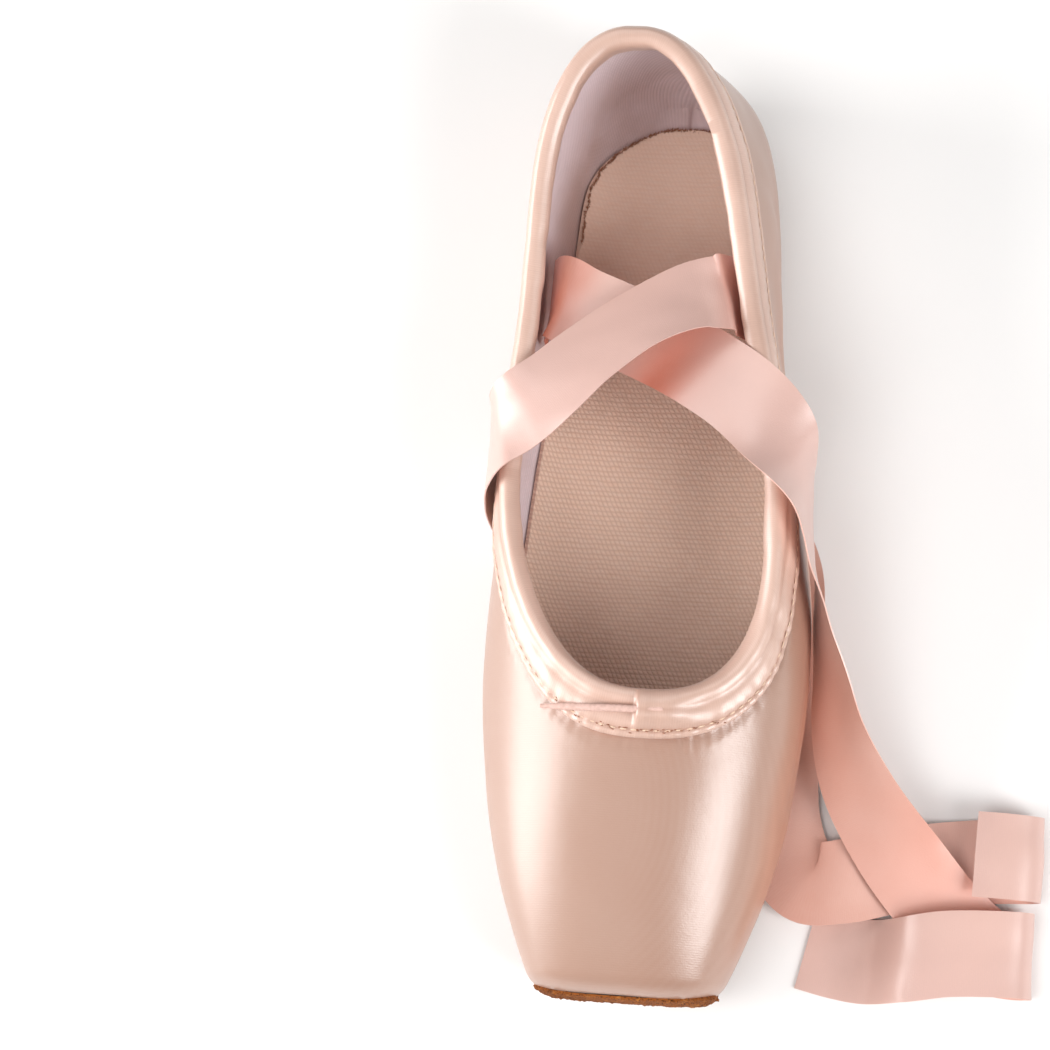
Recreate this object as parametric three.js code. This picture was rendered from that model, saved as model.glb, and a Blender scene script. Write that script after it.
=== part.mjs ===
// A satin pointe shoe, standing empty on its leather sole.
// Millimetres. The toe points to -Y, +X is the right-hand side seen from the toe, +Z is up.
// The origin lies on the floor, under the middle of the shoe.
// Stations along the shoe are measured from the flat face of the toe (s = 0) to the back of the heel.

import * as THREE from 'three';
import { mergeVertices } from 'three/addons/utils/BufferGeometryUtils.js';

// Driving sizes of the shoe
const LENGTH = 236;
const TOE_EDGE = 5;
const HEEL_START = 186;
const HEEL_ROUND = 2.35;
const HEEL_BULGE = 21;
const HEEL_TUCK = 0.0021;
const HEEL_UNDERCUT = 0.014;
const QUARTER_WALL = 1.8;
const BOX_WALL = 3.4;
const BOX_END = [58, 98];

// Lean of the soft quarters and sideways set of the throat, as the worn-in shoe stands
const HEEL_LEAN = -7;
const THROAT_SET = 5.5;

// Collar: throat, the end of its rounded part, and the height of its edge along the sides
const THROAT = 70;
const THROAT_END = 125;
const THROAT_ROUND = 2.5;
const COLLAR = [
  { s: 0, height: 47.0 },
  { s: 146, height: 47.5 },
  { s: 176, height: 50.0 },
  { s: 205, height: 55.0 },
  { s: 225, height: 60.5 },
  { s: 236, height: 62.0 },
];

// Sections of the last: half width, underside, top, height of the widest point,
// and how square the section is above and below that point (2 is round)
const SECTIONS = [
  { s: 0, half: 22.3, under: 5.0, over: 36.0, wide: 20.0, above: 2.6, below: 2.6 },
  { s: 12, half: 27.5, under: 4.0, over: 40.2, wide: 20.0, above: 2.45, below: 2.7 },
  { s: 28, half: 33.0, under: 3.3, over: 44.6, wide: 20.0, above: 2.3, below: 2.8 },
  { s: 50, half: 37.8, under: 3.3, over: 49.0, wide: 20.0, above: 2.2, below: 2.8 },
  { s: 80, half: 40.3, under: 3.3, over: 54.2, wide: 20.0, above: 2.3, below: 2.8 },
  { s: 96, half: 40.0, under: 3.3, over: 57.5, wide: 20.5, above: 2.5, below: 2.8 },
  { s: 116, half: 38.0, under: 5.6, over: 61.5, wide: 22.0, above: 2.8, below: 2.7 },
  { s: 142, half: 34.0, under: 9.6, over: 66.5, wide: 25.0, above: 2.8, below: 2.6 },
  { s: 168, half: 30.4, under: 8.6, over: 72.0, wide: 25.5, above: 2.45, below: 2.6 },
  { s: 198, half: 28.4, under: 3.3, over: 77.0, wide: 23.0, above: 2.25, below: 2.7 },
  { s: 236, half: 27.6, under: 3.3, over: 80.0, wide: 22.0, above: 2.3, below: 2.7 },
];

// Outline of the leather sole
const UNDER_SHOE = 3.3;
const SOLE_CLEAR = 0.55;
const SOLE_EDGE_LIFT = 0.9;
const SOLE = [
  { s: 21, half: 0.0 },
  { s: 22.5, half: 6.5 },
  { s: 27, half: 11.5 },
  { s: 36, half: 16.0 },
  { s: 55, half: 20.2 },
  { s: 78, half: 21.5 },
  { s: 100, half: 20.0 },
  { s: 125, half: 15.8 },
  { s: 150, half: 13.4 },
  { s: 175, half: 15.0 },
  { s: 198, half: 18.4 },
  { s: 212, half: 18.2 },
  { s: 222, half: 14.6 },
  { s: 228, half: 9.2 },
  { s: 230.4, half: 4.5 },
  { s: 231, half: 0.0 },
];
const LASTING_MARGIN = 4.5;
const SOLE_STATIONS = 32;
const PLATE_ACROSS = 8;

// Canvas sock on the inside
const SOCK_THICK = 1.8;
const SOCK_STATIONS = 26;
const SOCK_ENDS = [14, 224];
const SOCK_HEEL = 22;
const SOCK_RISE = 7.5;
const SOCK_CLEAR = 0.7;

// Suede cover of the toe face: where it ends on top, at the sides and underneath
const TIP_THICK = 1.1;
const TIP_CLEAR = 0.7;
const TIP_TOP = 1.2;
const TIP_SIDE = 2.6;
const TIP_UNDER = 18;
const TIP_AROUND = 44;
const TIP_RINGS = 6;
const TIP_BEND_WEIGHT = 6;

// Station of the middle of the shoe, suede cover included
const MIDDLE = (LENGTH - TIP_CLEAR - TIP_THICK) / 2;

// Binding round the collar, folded over a drawstring
const BINDING = 1.1;
const BINDING_CLEAR = 0.42;
const BINDING_OUT = 9.5;
const BINDING_IN = 7;
const BEAD = 1.3;

// How the lines of the upper are spread from the toe (0) to the heel (1): the share of the
// collar, of the widest outline and of the lasted edge reached, and the station of the pivot
const LINES = [
  { share: 0.0, collar: 0.0, outline: 0.0, feather: 0.0, pivot: 38 },
  { share: 0.06, collar: 0.042, outline: 0.044, feather: 0.024, pivot: 39 },
  { share: 0.12, collar: 0.084, outline: 0.088, feather: 0.047, pivot: 42 },
  { share: 0.18, collar: 0.126, outline: 0.161, feather: 0.09, pivot: 50 },
  { share: 0.24, collar: 0.173, outline: 0.249, feather: 0.156, pivot: 62 },
  { share: 0.3, collar: 0.225, outline: 0.341, feather: 0.255, pivot: 78 },
  { share: 0.36, collar: 0.293, outline: 0.432, feather: 0.373, pivot: 97 },
  { share: 0.42, collar: 0.366, outline: 0.524, feather: 0.491, pivot: 121 },
  { share: 0.5, collar: 0.461, outline: 0.606, feather: 0.601, pivot: 143.5 },
  { share: 0.7, collar: 0.733, outline: 0.799, feather: 0.849, pivot: 196 },
  { share: 0.78, collar: 0.791, outline: 0.846, feather: 0.896, pivot: 203 },
  { share: 0.88, collar: 0.89, outline: 0.923, feather: 0.943, pivot: 205 },
  { share: 1.0, collar: 1.0, outline: 1.0, feather: 1.0, pivot: 205 },
];
const LINES_AROUND = 76;
const RINGS = 15;
const FINE_RINGS = 150;
const PIVOT_HEIGHT = 22;
const BEND_WEIGHT = 11;
const REACH = 130;

// Satin ribbons: route of the middle line on the standing shoe, and which way one edge points
// from it (heading from +X in plan, and how far it points up)
const RIBBON_WIDTH = 21;
const RIBBON_THICK = 0.7;
const RIBBON_STEPS = 76;
const RIBBON_FROM_RIGHT = [
  { x: 22, y: 54.2, z: 30, heading: -80, up: 0 },
  { x: 20.8, y: 54.2, z: 40, heading: -80, up: 0 },
  { x: 18, y: 54, z: 47.4, heading: -77, up: 3 },
  { x: 16.8, y: 53.9, z: 50.4, heading: -73, up: 14 },
  { x: 10.8, y: 52.8, z: 52, heading: -68, up: 23 },
  { x: 3, y: 49.3, z: 53.4, heading: -57, up: 29 },
  { x: -6.6, y: 43.2, z: 54.4, heading: -47, up: 30 },
  { x: -16.3, y: 35, z: 55.2, heading: -45, up: 27 },
  { x: -23.4, y: 28, z: 55.2, heading: -50, up: 20 },
  { x: -30.6, y: 22, z: 54, heading: -66, up: 10 },
  { x: -36.3, y: 17.4, z: 50.6, heading: -84, up: 8 },
  { x: -39.2, y: 13.4, z: 44.4, heading: -90, up: 8 },
  { x: -39.9, y: 9.8, z: 37, heading: -92, up: 6 },
  { x: -39.8, y: 7.6, z: 29, heading: -92, up: 3 },
  { x: -39.6, y: 6.9, z: 20, heading: -91, up: 0 },
  { x: -38.2, y: 6.8, z: 12, heading: -90, up: 0 },
  { x: -34.4, y: 6.8, z: 5.2, heading: -90, up: 0 },
  { x: -28.5, y: 6.9, z: 1.3, heading: -90, up: 0 },
  { x: -20, y: 6.9, z: 0.6, heading: -90, up: 0 },
  { x: 0, y: 6.9, z: 0.6, heading: -90, up: 0 },
  { x: 12, y: 6.9, z: 0.6, heading: -90, up: 0 },
  { x: 20.5, y: 5.2, z: 0.6, heading: -115, up: 0 },
  { x: 26.6, y: 0.4, z: 0.7, heading: -143, up: 0 },
  { x: 30.2, y: -6.8, z: 1.6, heading: -168, up: -6 },
  { x: 32, y: -16, z: 3.9, heading: -180, up: -16 },
  { x: 32.4, y: -30, z: 4.8, heading: -180, up: -21 },
  { x: 32.4, y: -44, z: 4.4, heading: -180, up: -19 },
  { x: 32.4, y: -58, z: 2.6, heading: -180, up: -10 },
  { x: 33.2, y: -69, z: 1.4, heading: -174, up: -3 },
  { x: 36.6, y: -79, z: 2.2, heading: -146, up: 0 },
  { x: 41.6, y: -84.6, z: 4.4, heading: -112, up: 3 },
  { x: 50.2, y: -84.2, z: 5.8, heading: -92, up: 4 },
  { x: 60.8, y: -81.2, z: 4, heading: -86, up: 1 },
  { x: 74.1, y: -78.4, z: 2, heading: -84, up: 0 },
  { x: 88.8, y: -76.6, z: 1.4, heading: -88, up: 0 },
  { x: 96.6, y: -76.2, z: 1.9, heading: -90, up: 0 },
  { x: 99.1, y: -76.2, z: 5.2, heading: -90, up: 0 },
  { x: 96.2, y: -76.2, z: 9, heading: -90, up: 0 },
  { x: 89.4, y: -76, z: 10.6, heading: -90, up: 0 },
  { x: 82.8, y: -75.8, z: 10, heading: -92, up: 0 },
];
const RIBBON_FROM_LEFT = [
  { x: -28.4, y: 53.2, z: 30, heading: -95, up: 0 },
  { x: -27.8, y: 53.2, z: 38.2, heading: -95, up: 0 },
  { x: -25.2, y: 53, z: 43.2, heading: -98, up: 0 },
  { x: -19.5, y: 50, z: 44.6, heading: -106, up: 0 },
  { x: -8.6, y: 45.6, z: 44.8, heading: -124, up: 0 },
  { x: 3.4, y: 40.2, z: 45.6, heading: -129, up: 0 },
  { x: 14.2, y: 34, z: 49.4, heading: -128, up: 0 },
  { x: 22.4, y: 28.4, z: 52, heading: -122, up: 2 },
  { x: 29.1, y: 22.1, z: 53.2, heading: -114, up: 8 },
  { x: 34.4, y: 15.1, z: 52.4, heading: -104, up: 18 },
  { x: 38, y: 8, z: 49.2, heading: -94, up: 30 },
  { x: 40, y: 0.4, z: 44.2, heading: -89, up: 43 },
  { x: 41.2, y: -7.6, z: 38.8, heading: -82, up: 57 },
  { x: 43, y: -16.6, z: 33.4, heading: -60, up: 68 },
  { x: 44.5, y: -26.7, z: 28.4, heading: -23, up: 69 },
  { x: 46.4, y: -37.3, z: 23.8, heading: -1, up: 62 },
  { x: 48.6, y: -48.5, z: 19.8, heading: 11, up: 50 },
  { x: 53, y: -60.6, z: 15.4, heading: 15, up: 32 },
  { x: 59.7, y: -71.4, z: 11.4, heading: 14, up: 15 },
  { x: 67.6, y: -81.4, z: 7.2, heading: 31, up: 2 },
  { x: 77, y: -91.8, z: 3.8, heading: 43, up: 2 },
  { x: 86, y: -98.6, z: 1.6, heading: 66, up: 0 },
  { x: 92.7, y: -99.9, z: 1, heading: 86, up: 0 },
  { x: 96.6, y: -99.9, z: 2.2, heading: 90, up: 0 },
  { x: 97.9, y: -99.9, z: 6, heading: 90, up: 0 },
  { x: 95.3, y: -100, z: 9.8, heading: 90, up: 0 },
  { x: 87.6, y: -100.2, z: 11.6, heading: 90, up: 0 },
  { x: 76.7, y: -100.9, z: 11.6, heading: 88, up: 0 },
  { x: 66.9, y: -102.6, z: 9.4, heading: 84, up: 0 },
  { x: 57.5, y: -103.4, z: 2.8, heading: 84, up: -2 },
  { x: 49.9, y: -102.4, z: 0.8, heading: 88, up: 0 },
  { x: 41.9, y: -100.6, z: 0.6, heading: 92, up: 0 },
];

// Drawstring end: from the overlap of the binding at the throat to its cut end
const STRING_WIDTH = 1.8;
const STRING = [
  { x: 9.0, y: -49.8, z: 54.9 },
  { x: 3.0, y: -50.1, z: 54.9 },
  { x: -2.5, y: -50.1, z: 54.5 },
  { x: -8.5, y: -50.1, z: 53.6 },
  { x: -14.8, y: -50.0, z: 52.0 },
  { x: -21.4, y: -49.9, z: 49.9 },
];
const STRING_QUARTERS = 4;
const STRING_STEPS = 14;

// Colours
const SATIN = 0xe3c6b8;
const BINDING_PINK = 0xebd2c4;
const RIBBON_PINK = 0xe6c4bc;
const LEATHER = 0x6b4a36;
const CANVAS = 0xc29a88;
const SUEDE = 0xb87440;

const clamp = (value, low, high) => Math.min(Math.max(value, low), high);
const mix = (a, b, share) => a + (b - a) * share;

function ease(value, from, to) {
  const t = clamp((value - from) / (to - from), 0, 1);
  return t * t * (3 - 2 * t);
}

// A smooth curve through one column of a table, which never overshoots its rows
function column(rows, along, name) {
  const x = rows.map((row) => row[along]);
  const y = rows.map((row) => row[name]);
  const last = x.length - 1;
  const step = x.slice(1).map((value, i) => value - x[i]);
  const slope = step.map((h, i) => (y[i + 1] - y[i]) / h);
  const tangent = y.map((_, i) => {
    if (i === 0) return slope[0];
    if (i === last) return slope[last - 1];
    if (slope[i - 1] * slope[i] <= 0) return 0;
    const before = 2 * step[i] + step[i - 1];
    const after = step[i] + 2 * step[i - 1];
    return (before + after) / (before / slope[i - 1] + after / slope[i]);
  });
  return (value) => {
    const at = clamp(value, x[0], x[last]);
    let i = 0;
    while (i < last - 1 && at > x[i + 1]) i += 1;
    const t = (at - x[i]) / step[i];
    const a = y[i] * (1 + 2 * t) * (1 - t) ** 2 + y[i + 1] * t * t * (3 - 2 * t);
    return a + step[i] * (tangent[i] * t * (1 - t) ** 2 - tangent[i + 1] * t * t * (1 - t));
  };
}

const section = {};
for (const name of ['half', 'under', 'over', 'wide', 'above', 'below']) {
  section[name] = column(SECTIONS, 's', name);
}
const collarHeight = column(COLLAR, 's', 'height');
const soleHalf = column(SOLE, 's', 'half');

// Back of the heel at a height: it bulges at HEEL_BULGE and tucks in above and below
function heelBack(z) {
  const rise = z - HEEL_BULGE;
  return LENGTH - (rise > 0 ? HEEL_TUCK : HEEL_UNDERCUT) * rise * rise;
}

// Half width of the last at a station and height; negative outside it
function halfWidth(s, z) {
  const back = heelBack(z);
  if (s < 0 || s >= back) return -1;
  const rest = TOE_EDGE - s;
  const inset = rest > 0 ? TOE_EDGE - Math.sqrt(TOE_EDGE * TOE_EDGE - rest * rest) : 0;
  const wide = section.wide(s);
  const up = z > wide;
  const reach = (up ? section.over(s) - wide : wide - section.under(s)) - inset;
  const power = up ? section.above(s) : section.below(s);
  const away = Math.abs(z - wide) / reach;
  if (away >= 1) return -1;
  const close = clamp((s - HEEL_START) / (back - HEEL_START), 0, 1);
  const heel = (1 - close ** HEEL_ROUND) ** (1 / HEEL_ROUND);
  return (section.half(s) - inset) * (1 - away ** power) ** (1 / power) * heel;
}

const inside = (p) => Math.abs(p.x) < halfWidth(p.y, p.z);

// Where a ray from a pivot inside the last meets its surface; y holds the station
function surface(pivot, direction) {
  let near = 0;
  let far = REACH;
  const p = new THREE.Vector3();
  for (let i = 0; i < 44; i += 1) {
    const middle = (near + far) / 2;
    if (inside(p.copy(direction).multiplyScalar(middle).add(pivot))) near = middle;
    else far = middle;
  }
  return p.copy(direction).multiplyScalar(near).add(pivot).clone();
}

// Outward normals of a grid of points on the last, whose rows run round the shoe
function normalsOf(grid) {
  const rows = grid.length;
  const end = grid[0].length - 1;
  return grid.map((row, i) => row.map((_, j) => {
    const at = clamp(j, 1, end - 1);
    const turn = grid[(i + 1) % rows][at].clone().sub(grid[(i + rows - 1) % rows][at]);
    const run = row[Math.min(j + 1, end)].clone().sub(row[Math.max(j - 1, 0)]);
    return run.cross(turn).normalize();
  }));
}

// Moves a grid of points off the surface, outwards when the distance is positive
function raised(grid, normals, distance) {
  return grid.map((row, i) => row.map((p, j) => {
    const off = typeof distance === 'number' ? distance : distance(p);
    return placed(p.clone().addScaledVector(normals[i][j], off));
  }));
}

// Height of the last's surface above or below the widest line, at a station and an offset x
function heightAt(s, x, up) {
  let near = section.wide(s);
  let far = up ? section.over(s) : section.under(s);
  for (let i = 0; i < 40; i += 1) {
    const middle = (near + far) / 2;
    if (halfWidth(s, middle) > Math.abs(x)) near = middle;
    else far = middle;
  }
  return near;
}

// Moves a point from the symmetric last to the shoe as it stands, in its own frame
function placed(p) {
  const lean = HEEL_LEAN * ease(p.y, 90, 215) * clamp((p.z - 8) / 50, 0, 1.2);
  const near = Math.exp(-(((p.y - THROAT) / 30) ** 2));
  const set = THROAT_SET * near * clamp((p.z - 25) / 30, 0, 1);
  return new THREE.Vector3(p.x + lean + set, p.y - MIDDLE, p.z);
}

// A closed solid between an outer and an inner grid of points. Rows run round the piece
// when wrap is true; otherwise all four edges are closed by walls.
function solidBetween(outer, inner, wrap) {
  const rows = outer.length;
  const columns = outer[0].length;
  const points = [...outer.flat(), ...inner.flat()];
  const other = rows * columns;
  const faces = [];
  const quad = (a, b, c, d) => faces.push([a, b, c], [a, c, d]);
  const at = (i, j) => (i % rows) * columns + j;
  const spans = wrap ? rows : rows - 1;
  for (let i = 0; i < spans; i += 1) {
    for (let j = 0; j < columns - 1; j += 1) {
      quad(at(i, j), at(i, j + 1), at(i + 1, j + 1), at(i + 1, j));
      quad(other + at(i, j), other + at(i + 1, j), other + at(i + 1, j + 1), other + at(i, j + 1));
    }
    const end = columns - 1;
    quad(at(i, 0), at(i + 1, 0), other + at(i + 1, 0), other + at(i, 0));
    quad(at(i, end), other + at(i, end), other + at(i + 1, end), at(i + 1, end));
  }
  if (!wrap) {
    for (let j = 0; j < columns - 1; j += 1) {
      const end = rows - 1;
      quad(at(0, j), other + at(0, j), other + at(0, j + 1), at(0, j + 1));
      quad(at(end, j), at(end, j + 1), other + at(end, j + 1), other + at(end, j));
    }
  }
  return closedGeometry(points, faces);
}

// A tube of any closed section carried along a path, with flat ends or closed on itself
function solidAlong(rings, wrap) {
  const rows = rings.length;
  const sides = rings[0].length;
  const faces = [];
  const at = (i, j) => (i % rows) * sides + (j % sides);
  for (let i = 0; i < (wrap ? rows : rows - 1); i += 1) {
    for (let j = 0; j < sides; j += 1) {
      faces.push([at(i, j), at(i, j + 1), at(i + 1, j + 1)]);
      faces.push([at(i, j), at(i + 1, j + 1), at(i + 1, j)]);
    }
  }
  if (!wrap) {
    for (let j = 1; j < sides - 1; j += 1) {
      faces.push([at(0, 0), at(0, j + 1), at(0, j)]);
      faces.push([at(rows - 1, 0), at(rows - 1, j), at(rows - 1, j + 1)]);
    }
  }
  return closedGeometry(rings.flat(), faces);
}

// Merges shared points, drops faces that have shrunk to a line, and turns the faces outwards
function closedGeometry(points, faces) {
  let geometry = new THREE.BufferGeometry();
  const places = points.flatMap((p) => [p.x, p.y, p.z]);
  geometry.setAttribute('position', new THREE.Float32BufferAttribute(places, 3));
  geometry.setIndex(faces.flat());
  geometry = mergeVertices(geometry, 1e-3);
  const index = geometry.index.array;
  const kept = [];
  for (let i = 0; i < index.length; i += 3) {
    const [a, b, c] = [index[i], index[i + 1], index[i + 2]];
    if (a !== b && b !== c && c !== a) kept.push(a, b, c);
  }
  if (signedVolume(geometry.attributes.position, kept) < 0) kept.reverse();
  geometry.setIndex(kept);
  geometry.computeVertexNormals();
  return geometry;
}

function signedVolume(position, index) {
  const corner = [0, 1, 2].map(() => new THREE.Vector3());
  let volume = 0;
  for (let i = 0; i < index.length; i += 3) {
    corner.forEach((p, k) => p.fromBufferAttribute(position, index[i + k]));
    volume += corner[0].dot(corner[1].cross(corner[2]));
  }
  return volume;
}

// Right half of a loop on the last, spaced by its own length, from the toe to the heel
function halfLoop(pointAt) {
  const fine = 1500;
  const points = Array.from({ length: fine + 1 }, (_, i) => pointAt(i / fine));
  const run = [0];
  for (let i = 1; i <= fine; i += 1) run.push(run[i - 1] + points[i].distanceTo(points[i - 1]));
  return (share) => {
    const target = clamp(share, 0, 1) * run[fine];
    let low = 0;
    let high = fine;
    while (high - low > 1) {
      const middle = (low + high) >> 1;
      if (run[middle] < target) low = middle;
      else high = middle;
    }
    const part = (target - run[low]) / (run[high] - run[low] || 1);
    return points[low].clone().lerp(points[high], part);
  };
}

// Spreads samples towards both ends of a range
const eased = (share) => (1 - Math.cos(Math.PI * share)) / 2;

// The collar: rounded in plan at the throat, then at its height along the sides and heel
const collarEnd = heelBack(collarHeight(LENGTH)) - 1e-4;
const collarSide = halfWidth(THROAT_END, collarHeight(THROAT_END));
const collarLoop = halfLoop((share) => {
  const s = mix(THROAT, collarEnd, eased(share));
  if (s >= THROAT_END) {
    const z = collarHeight(s);
    return new THREE.Vector3(Math.max(halfWidth(s, z), 0), s, z);
  }
  const u = (THROAT_END - s) / (THROAT_END - THROAT);
  const x = collarSide * Math.max(1 - u ** THROAT_ROUND, 0) ** (1 / THROAT_ROUND);
  return new THREE.Vector3(x, s, heightAt(s, x, true));
});

// The widest outline: across the flat toe face, then along the side to the heel
const faceHalf = SECTIONS[0].half - TOE_EDGE;
const outlineLoop = halfLoop((share) => {
  const across = 0.07;
  if (share < across) return new THREE.Vector3((faceHalf * share) / across, 0, section.wide(0));
  const s = (LENGTH - 0.02) * eased((share - across) / (1 - across));
  const z = section.wide(s);
  return new THREE.Vector3(Math.max(halfWidth(Math.max(s, 1e-6), z), 0), s, z);
});

// The lasted edge: a margin inside the leather sole's outline
const featherStart = SOLE[0].s + LASTING_MARGIN;
const featherEnd = SOLE[SOLE.length - 1].s - LASTING_MARGIN;
const featherLoop = halfLoop((share) => {
  const s = mix(featherStart, featherEnd, eased(share));
  const round = Math.sqrt(Math.max(Math.min(1, (s - featherStart) / 20), 0));
  const end = Math.sqrt(Math.max(Math.min(1, (featherEnd - s) / 16), 0));
  const x = Math.max(soleHalf(s) - LASTING_MARGIN, 0) * round * end;
  return new THREE.Vector3(x, s, heightAt(s, x, false));
});

const lineAt = {};
for (const name of ['collar', 'outline', 'feather', 'pivot']) {
  lineAt[name] = column(LINES, 'share', name);
}

// One line of the upper, from the collar over the widest outline to the lasted edge.
// A parabola through the three loops guides the rays, so every point lies on the last.
function upperLine(around) {
  const side = around <= 0.5 ? 1 : -1;
  const share = around <= 0.5 ? around * 2 : 2 - around * 2;
  const top = collarLoop(lineAt.collar(share));
  const edge = featherLoop(lineAt.feather(share));
  const wide = outlineLoop(lineAt.outline(share));
  const pivot = new THREE.Vector3(0, lineAt.pivot(share), PIVOT_HEIGHT);
  const guide = wide.clone().multiplyScalar(2).sub(top.clone().add(edge).multiplyScalar(0.5));
  const points = [];
  for (let k = 0; k <= FINE_RINGS; k += 1) {
    const b = k / FINE_RINGS;
    const aim = top.clone().multiplyScalar((1 - b) ** 2);
    aim.addScaledVector(guide, 2 * b * (1 - b)).addScaledVector(edge, b * b);
    points.push(surface(pivot, aim.sub(pivot).normalize()));
  }
  points[0].copy(top);
  points[FINE_RINGS].copy(edge);
  for (const p of points) p.x *= side;
  return points;
}

const lines = Array.from({ length: LINES_AROUND }, (_, i) => upperLine(i / LINES_AROUND));
const lineNormals = normalsOf(lines);

// Distance run along a line from the collar, and the same with sharp bends counted as longer
function runs(points, bendWeight) {
  const run = [0];
  for (let k = 1; k < points.length; k += 1) {
    const step = points[k].clone().sub(points[k - 1]);
    const next = points[Math.min(k + 1, points.length - 1)].clone().sub(points[k]);
    const bend = next.length() > 0 ? step.angleTo(next) : 0;
    run.push(run[k - 1] + step.length() + bendWeight * bend);
  }
  return run;
}

function along(points, run, target) {
  let k = 1;
  while (k < run.length - 1 && run[k] < target) k += 1;
  const part = clamp((target - run[k - 1]) / (run[k] - run[k - 1] || 1), 0, 1);
  return points[k - 1].clone().lerp(points[k], part);
}

const wallAt = (s) => mix(BOX_WALL, QUARTER_WALL, ease(s, BOX_END[0], BOX_END[1]));

function makeUpper() {
  const skin = [];
  const normals = [];
  lines.forEach((points, i) => {
    const run = runs(points, BEND_WEIGHT);
    const total = run[run.length - 1];
    const stops = Array.from({ length: RINGS + 1 }, (_, j) => (total * j) / RINGS);
    skin.push(stops.map((stop) => along(points, run, stop)));
    normals.push(stops.map((stop) => along(lineNormals[i], run, stop).normalize()));
  });
  return solidBetween(raised(skin, normals, 0), raised(skin, normals, (p) => -wallAt(p.y)), true);
}

// Section of the binding: how far below the collar's edge, and how far off the upper's
// outside, or off its inside when the last entry is true
const bindingOff = BINDING_CLEAR + BINDING;
const bindingCrown = -BINDING_CLEAR - BINDING - BEAD * 0.5;
const BINDING_SECTION = [
  [BINDING_OUT, BINDING_CLEAR, false],
  [BINDING_OUT, bindingOff - 0.2, false],
  [BINDING_OUT - 1.2, bindingOff, false],
  [2.4, bindingOff, false],
  [0.8, bindingOff + BEAD * 0.35, false],
  [bindingCrown, bindingOff * 0.35, false],
  [bindingCrown, bindingOff * 0.35, true],
  [-0.6, bindingOff, true],
  [BINDING_IN / 2, bindingOff, true],
  [BINDING_IN, bindingOff, true],
  [BINDING_IN, BINDING_CLEAR, true],
  [BINDING_IN / 2, BINDING_CLEAR, true],
  [-BINDING_CLEAR, BINDING_CLEAR, true],
  [-BINDING_CLEAR, BINDING_CLEAR, false],
  [BINDING_OUT / 2, BINDING_CLEAR, false],
];

function makeBinding() {
  const rings = lines.map((points, i) => {
    const run = runs(points, 0);
    const up = points[0].clone().sub(along(points, run, 1.5)).normalize();
    return BINDING_SECTION.map(([below, off, inner]) => {
      const at = Math.max(below, 0);
      const p = along(points, run, at);
      const distance = inner ? -wallAt(p.y) - off : off;
      p.addScaledVector(along(lineNormals[i], run, at).normalize(), distance);
      return placed(p.addScaledVector(up, at - below));
    });
  });
  return solidAlong(rings, true);
}

// A plate under or inside the shoe: half width of its outline, and a point on each face
function plate(ends, halfAt, lowAt, highAt, stations, across) {
  const low = [];
  const high = [];
  for (let i = 0; i <= stations; i += 1) {
    const s = mix(ends[0], ends[1], eased(i / stations));
    const half = halfAt(s);
    const row = Array.from({ length: across + 1 }, (_, j) => (2 * j) / across - 1);
    low.push(row.map((b) => placed(lowAt(s, b, b * half))));
    high.push(row.map((b) => placed(highAt(s, b, b * half))));
  }
  return solidBetween(high, low, false);
}

// A point off the underside of the last, along its upward normal
function overUnderside(s, x, distance) {
  const h = 0.25;
  const z = heightAt(s, x, false);
  const slopeX = (heightAt(s, x + h, false) - heightAt(s, x - h, false)) / (2 * h);
  const slopeS = (heightAt(s + h, x, false) - heightAt(s - h, x, false)) / (2 * h);
  const normal = new THREE.Vector3(-slopeX, -slopeS, 1).normalize();
  return new THREE.Vector3(x, s, z).addScaledVector(normal, distance);
}

function makeOutsole() {
  const ends = [SOLE[0].s, SOLE[SOLE.length - 1].s];
  const high = (s, b, x) => new THREE.Vector3(x, s, heightAt(s, x, false) - SOLE_CLEAR);
  const low = (s, b, x) => {
    const lift = SOLE_EDGE_LIFT * b ** 8 * Math.min(soleHalf(s) / 5, 1);
    return new THREE.Vector3(x, s, section.under(s) - UNDER_SHOE + lift);
  };
  return plate(ends, soleHalf, low, high, SOLE_STATIONS, PLATE_ACROSS);
}

// The sock follows the inside of the last's underside and rises a little at its sides
function makeInsole() {
  const half = (s) => {
    const toe = Math.sqrt(clamp((s - SOCK_ENDS[0]) / 9, 0, 1));
    const heel = Math.sqrt(1 - clamp((s - SOCK_ENDS[1] + SOCK_HEEL) / SOCK_HEEL, 0, 1) ** 2);
    return halfWidth(s, section.under(s) + SOCK_RISE) * toe * heel;
  };
  const lift = (s) => wallAt(s) + SOCK_CLEAR;
  const low = (s, b, x) => overUnderside(s, x, lift(s));
  const high = (s, b, x) => overUnderside(s, x, lift(s) + SOCK_THICK);
  return plate(SOCK_ENDS, half, low, high, SOCK_STATIONS, PLATE_ACROSS);
}

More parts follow.
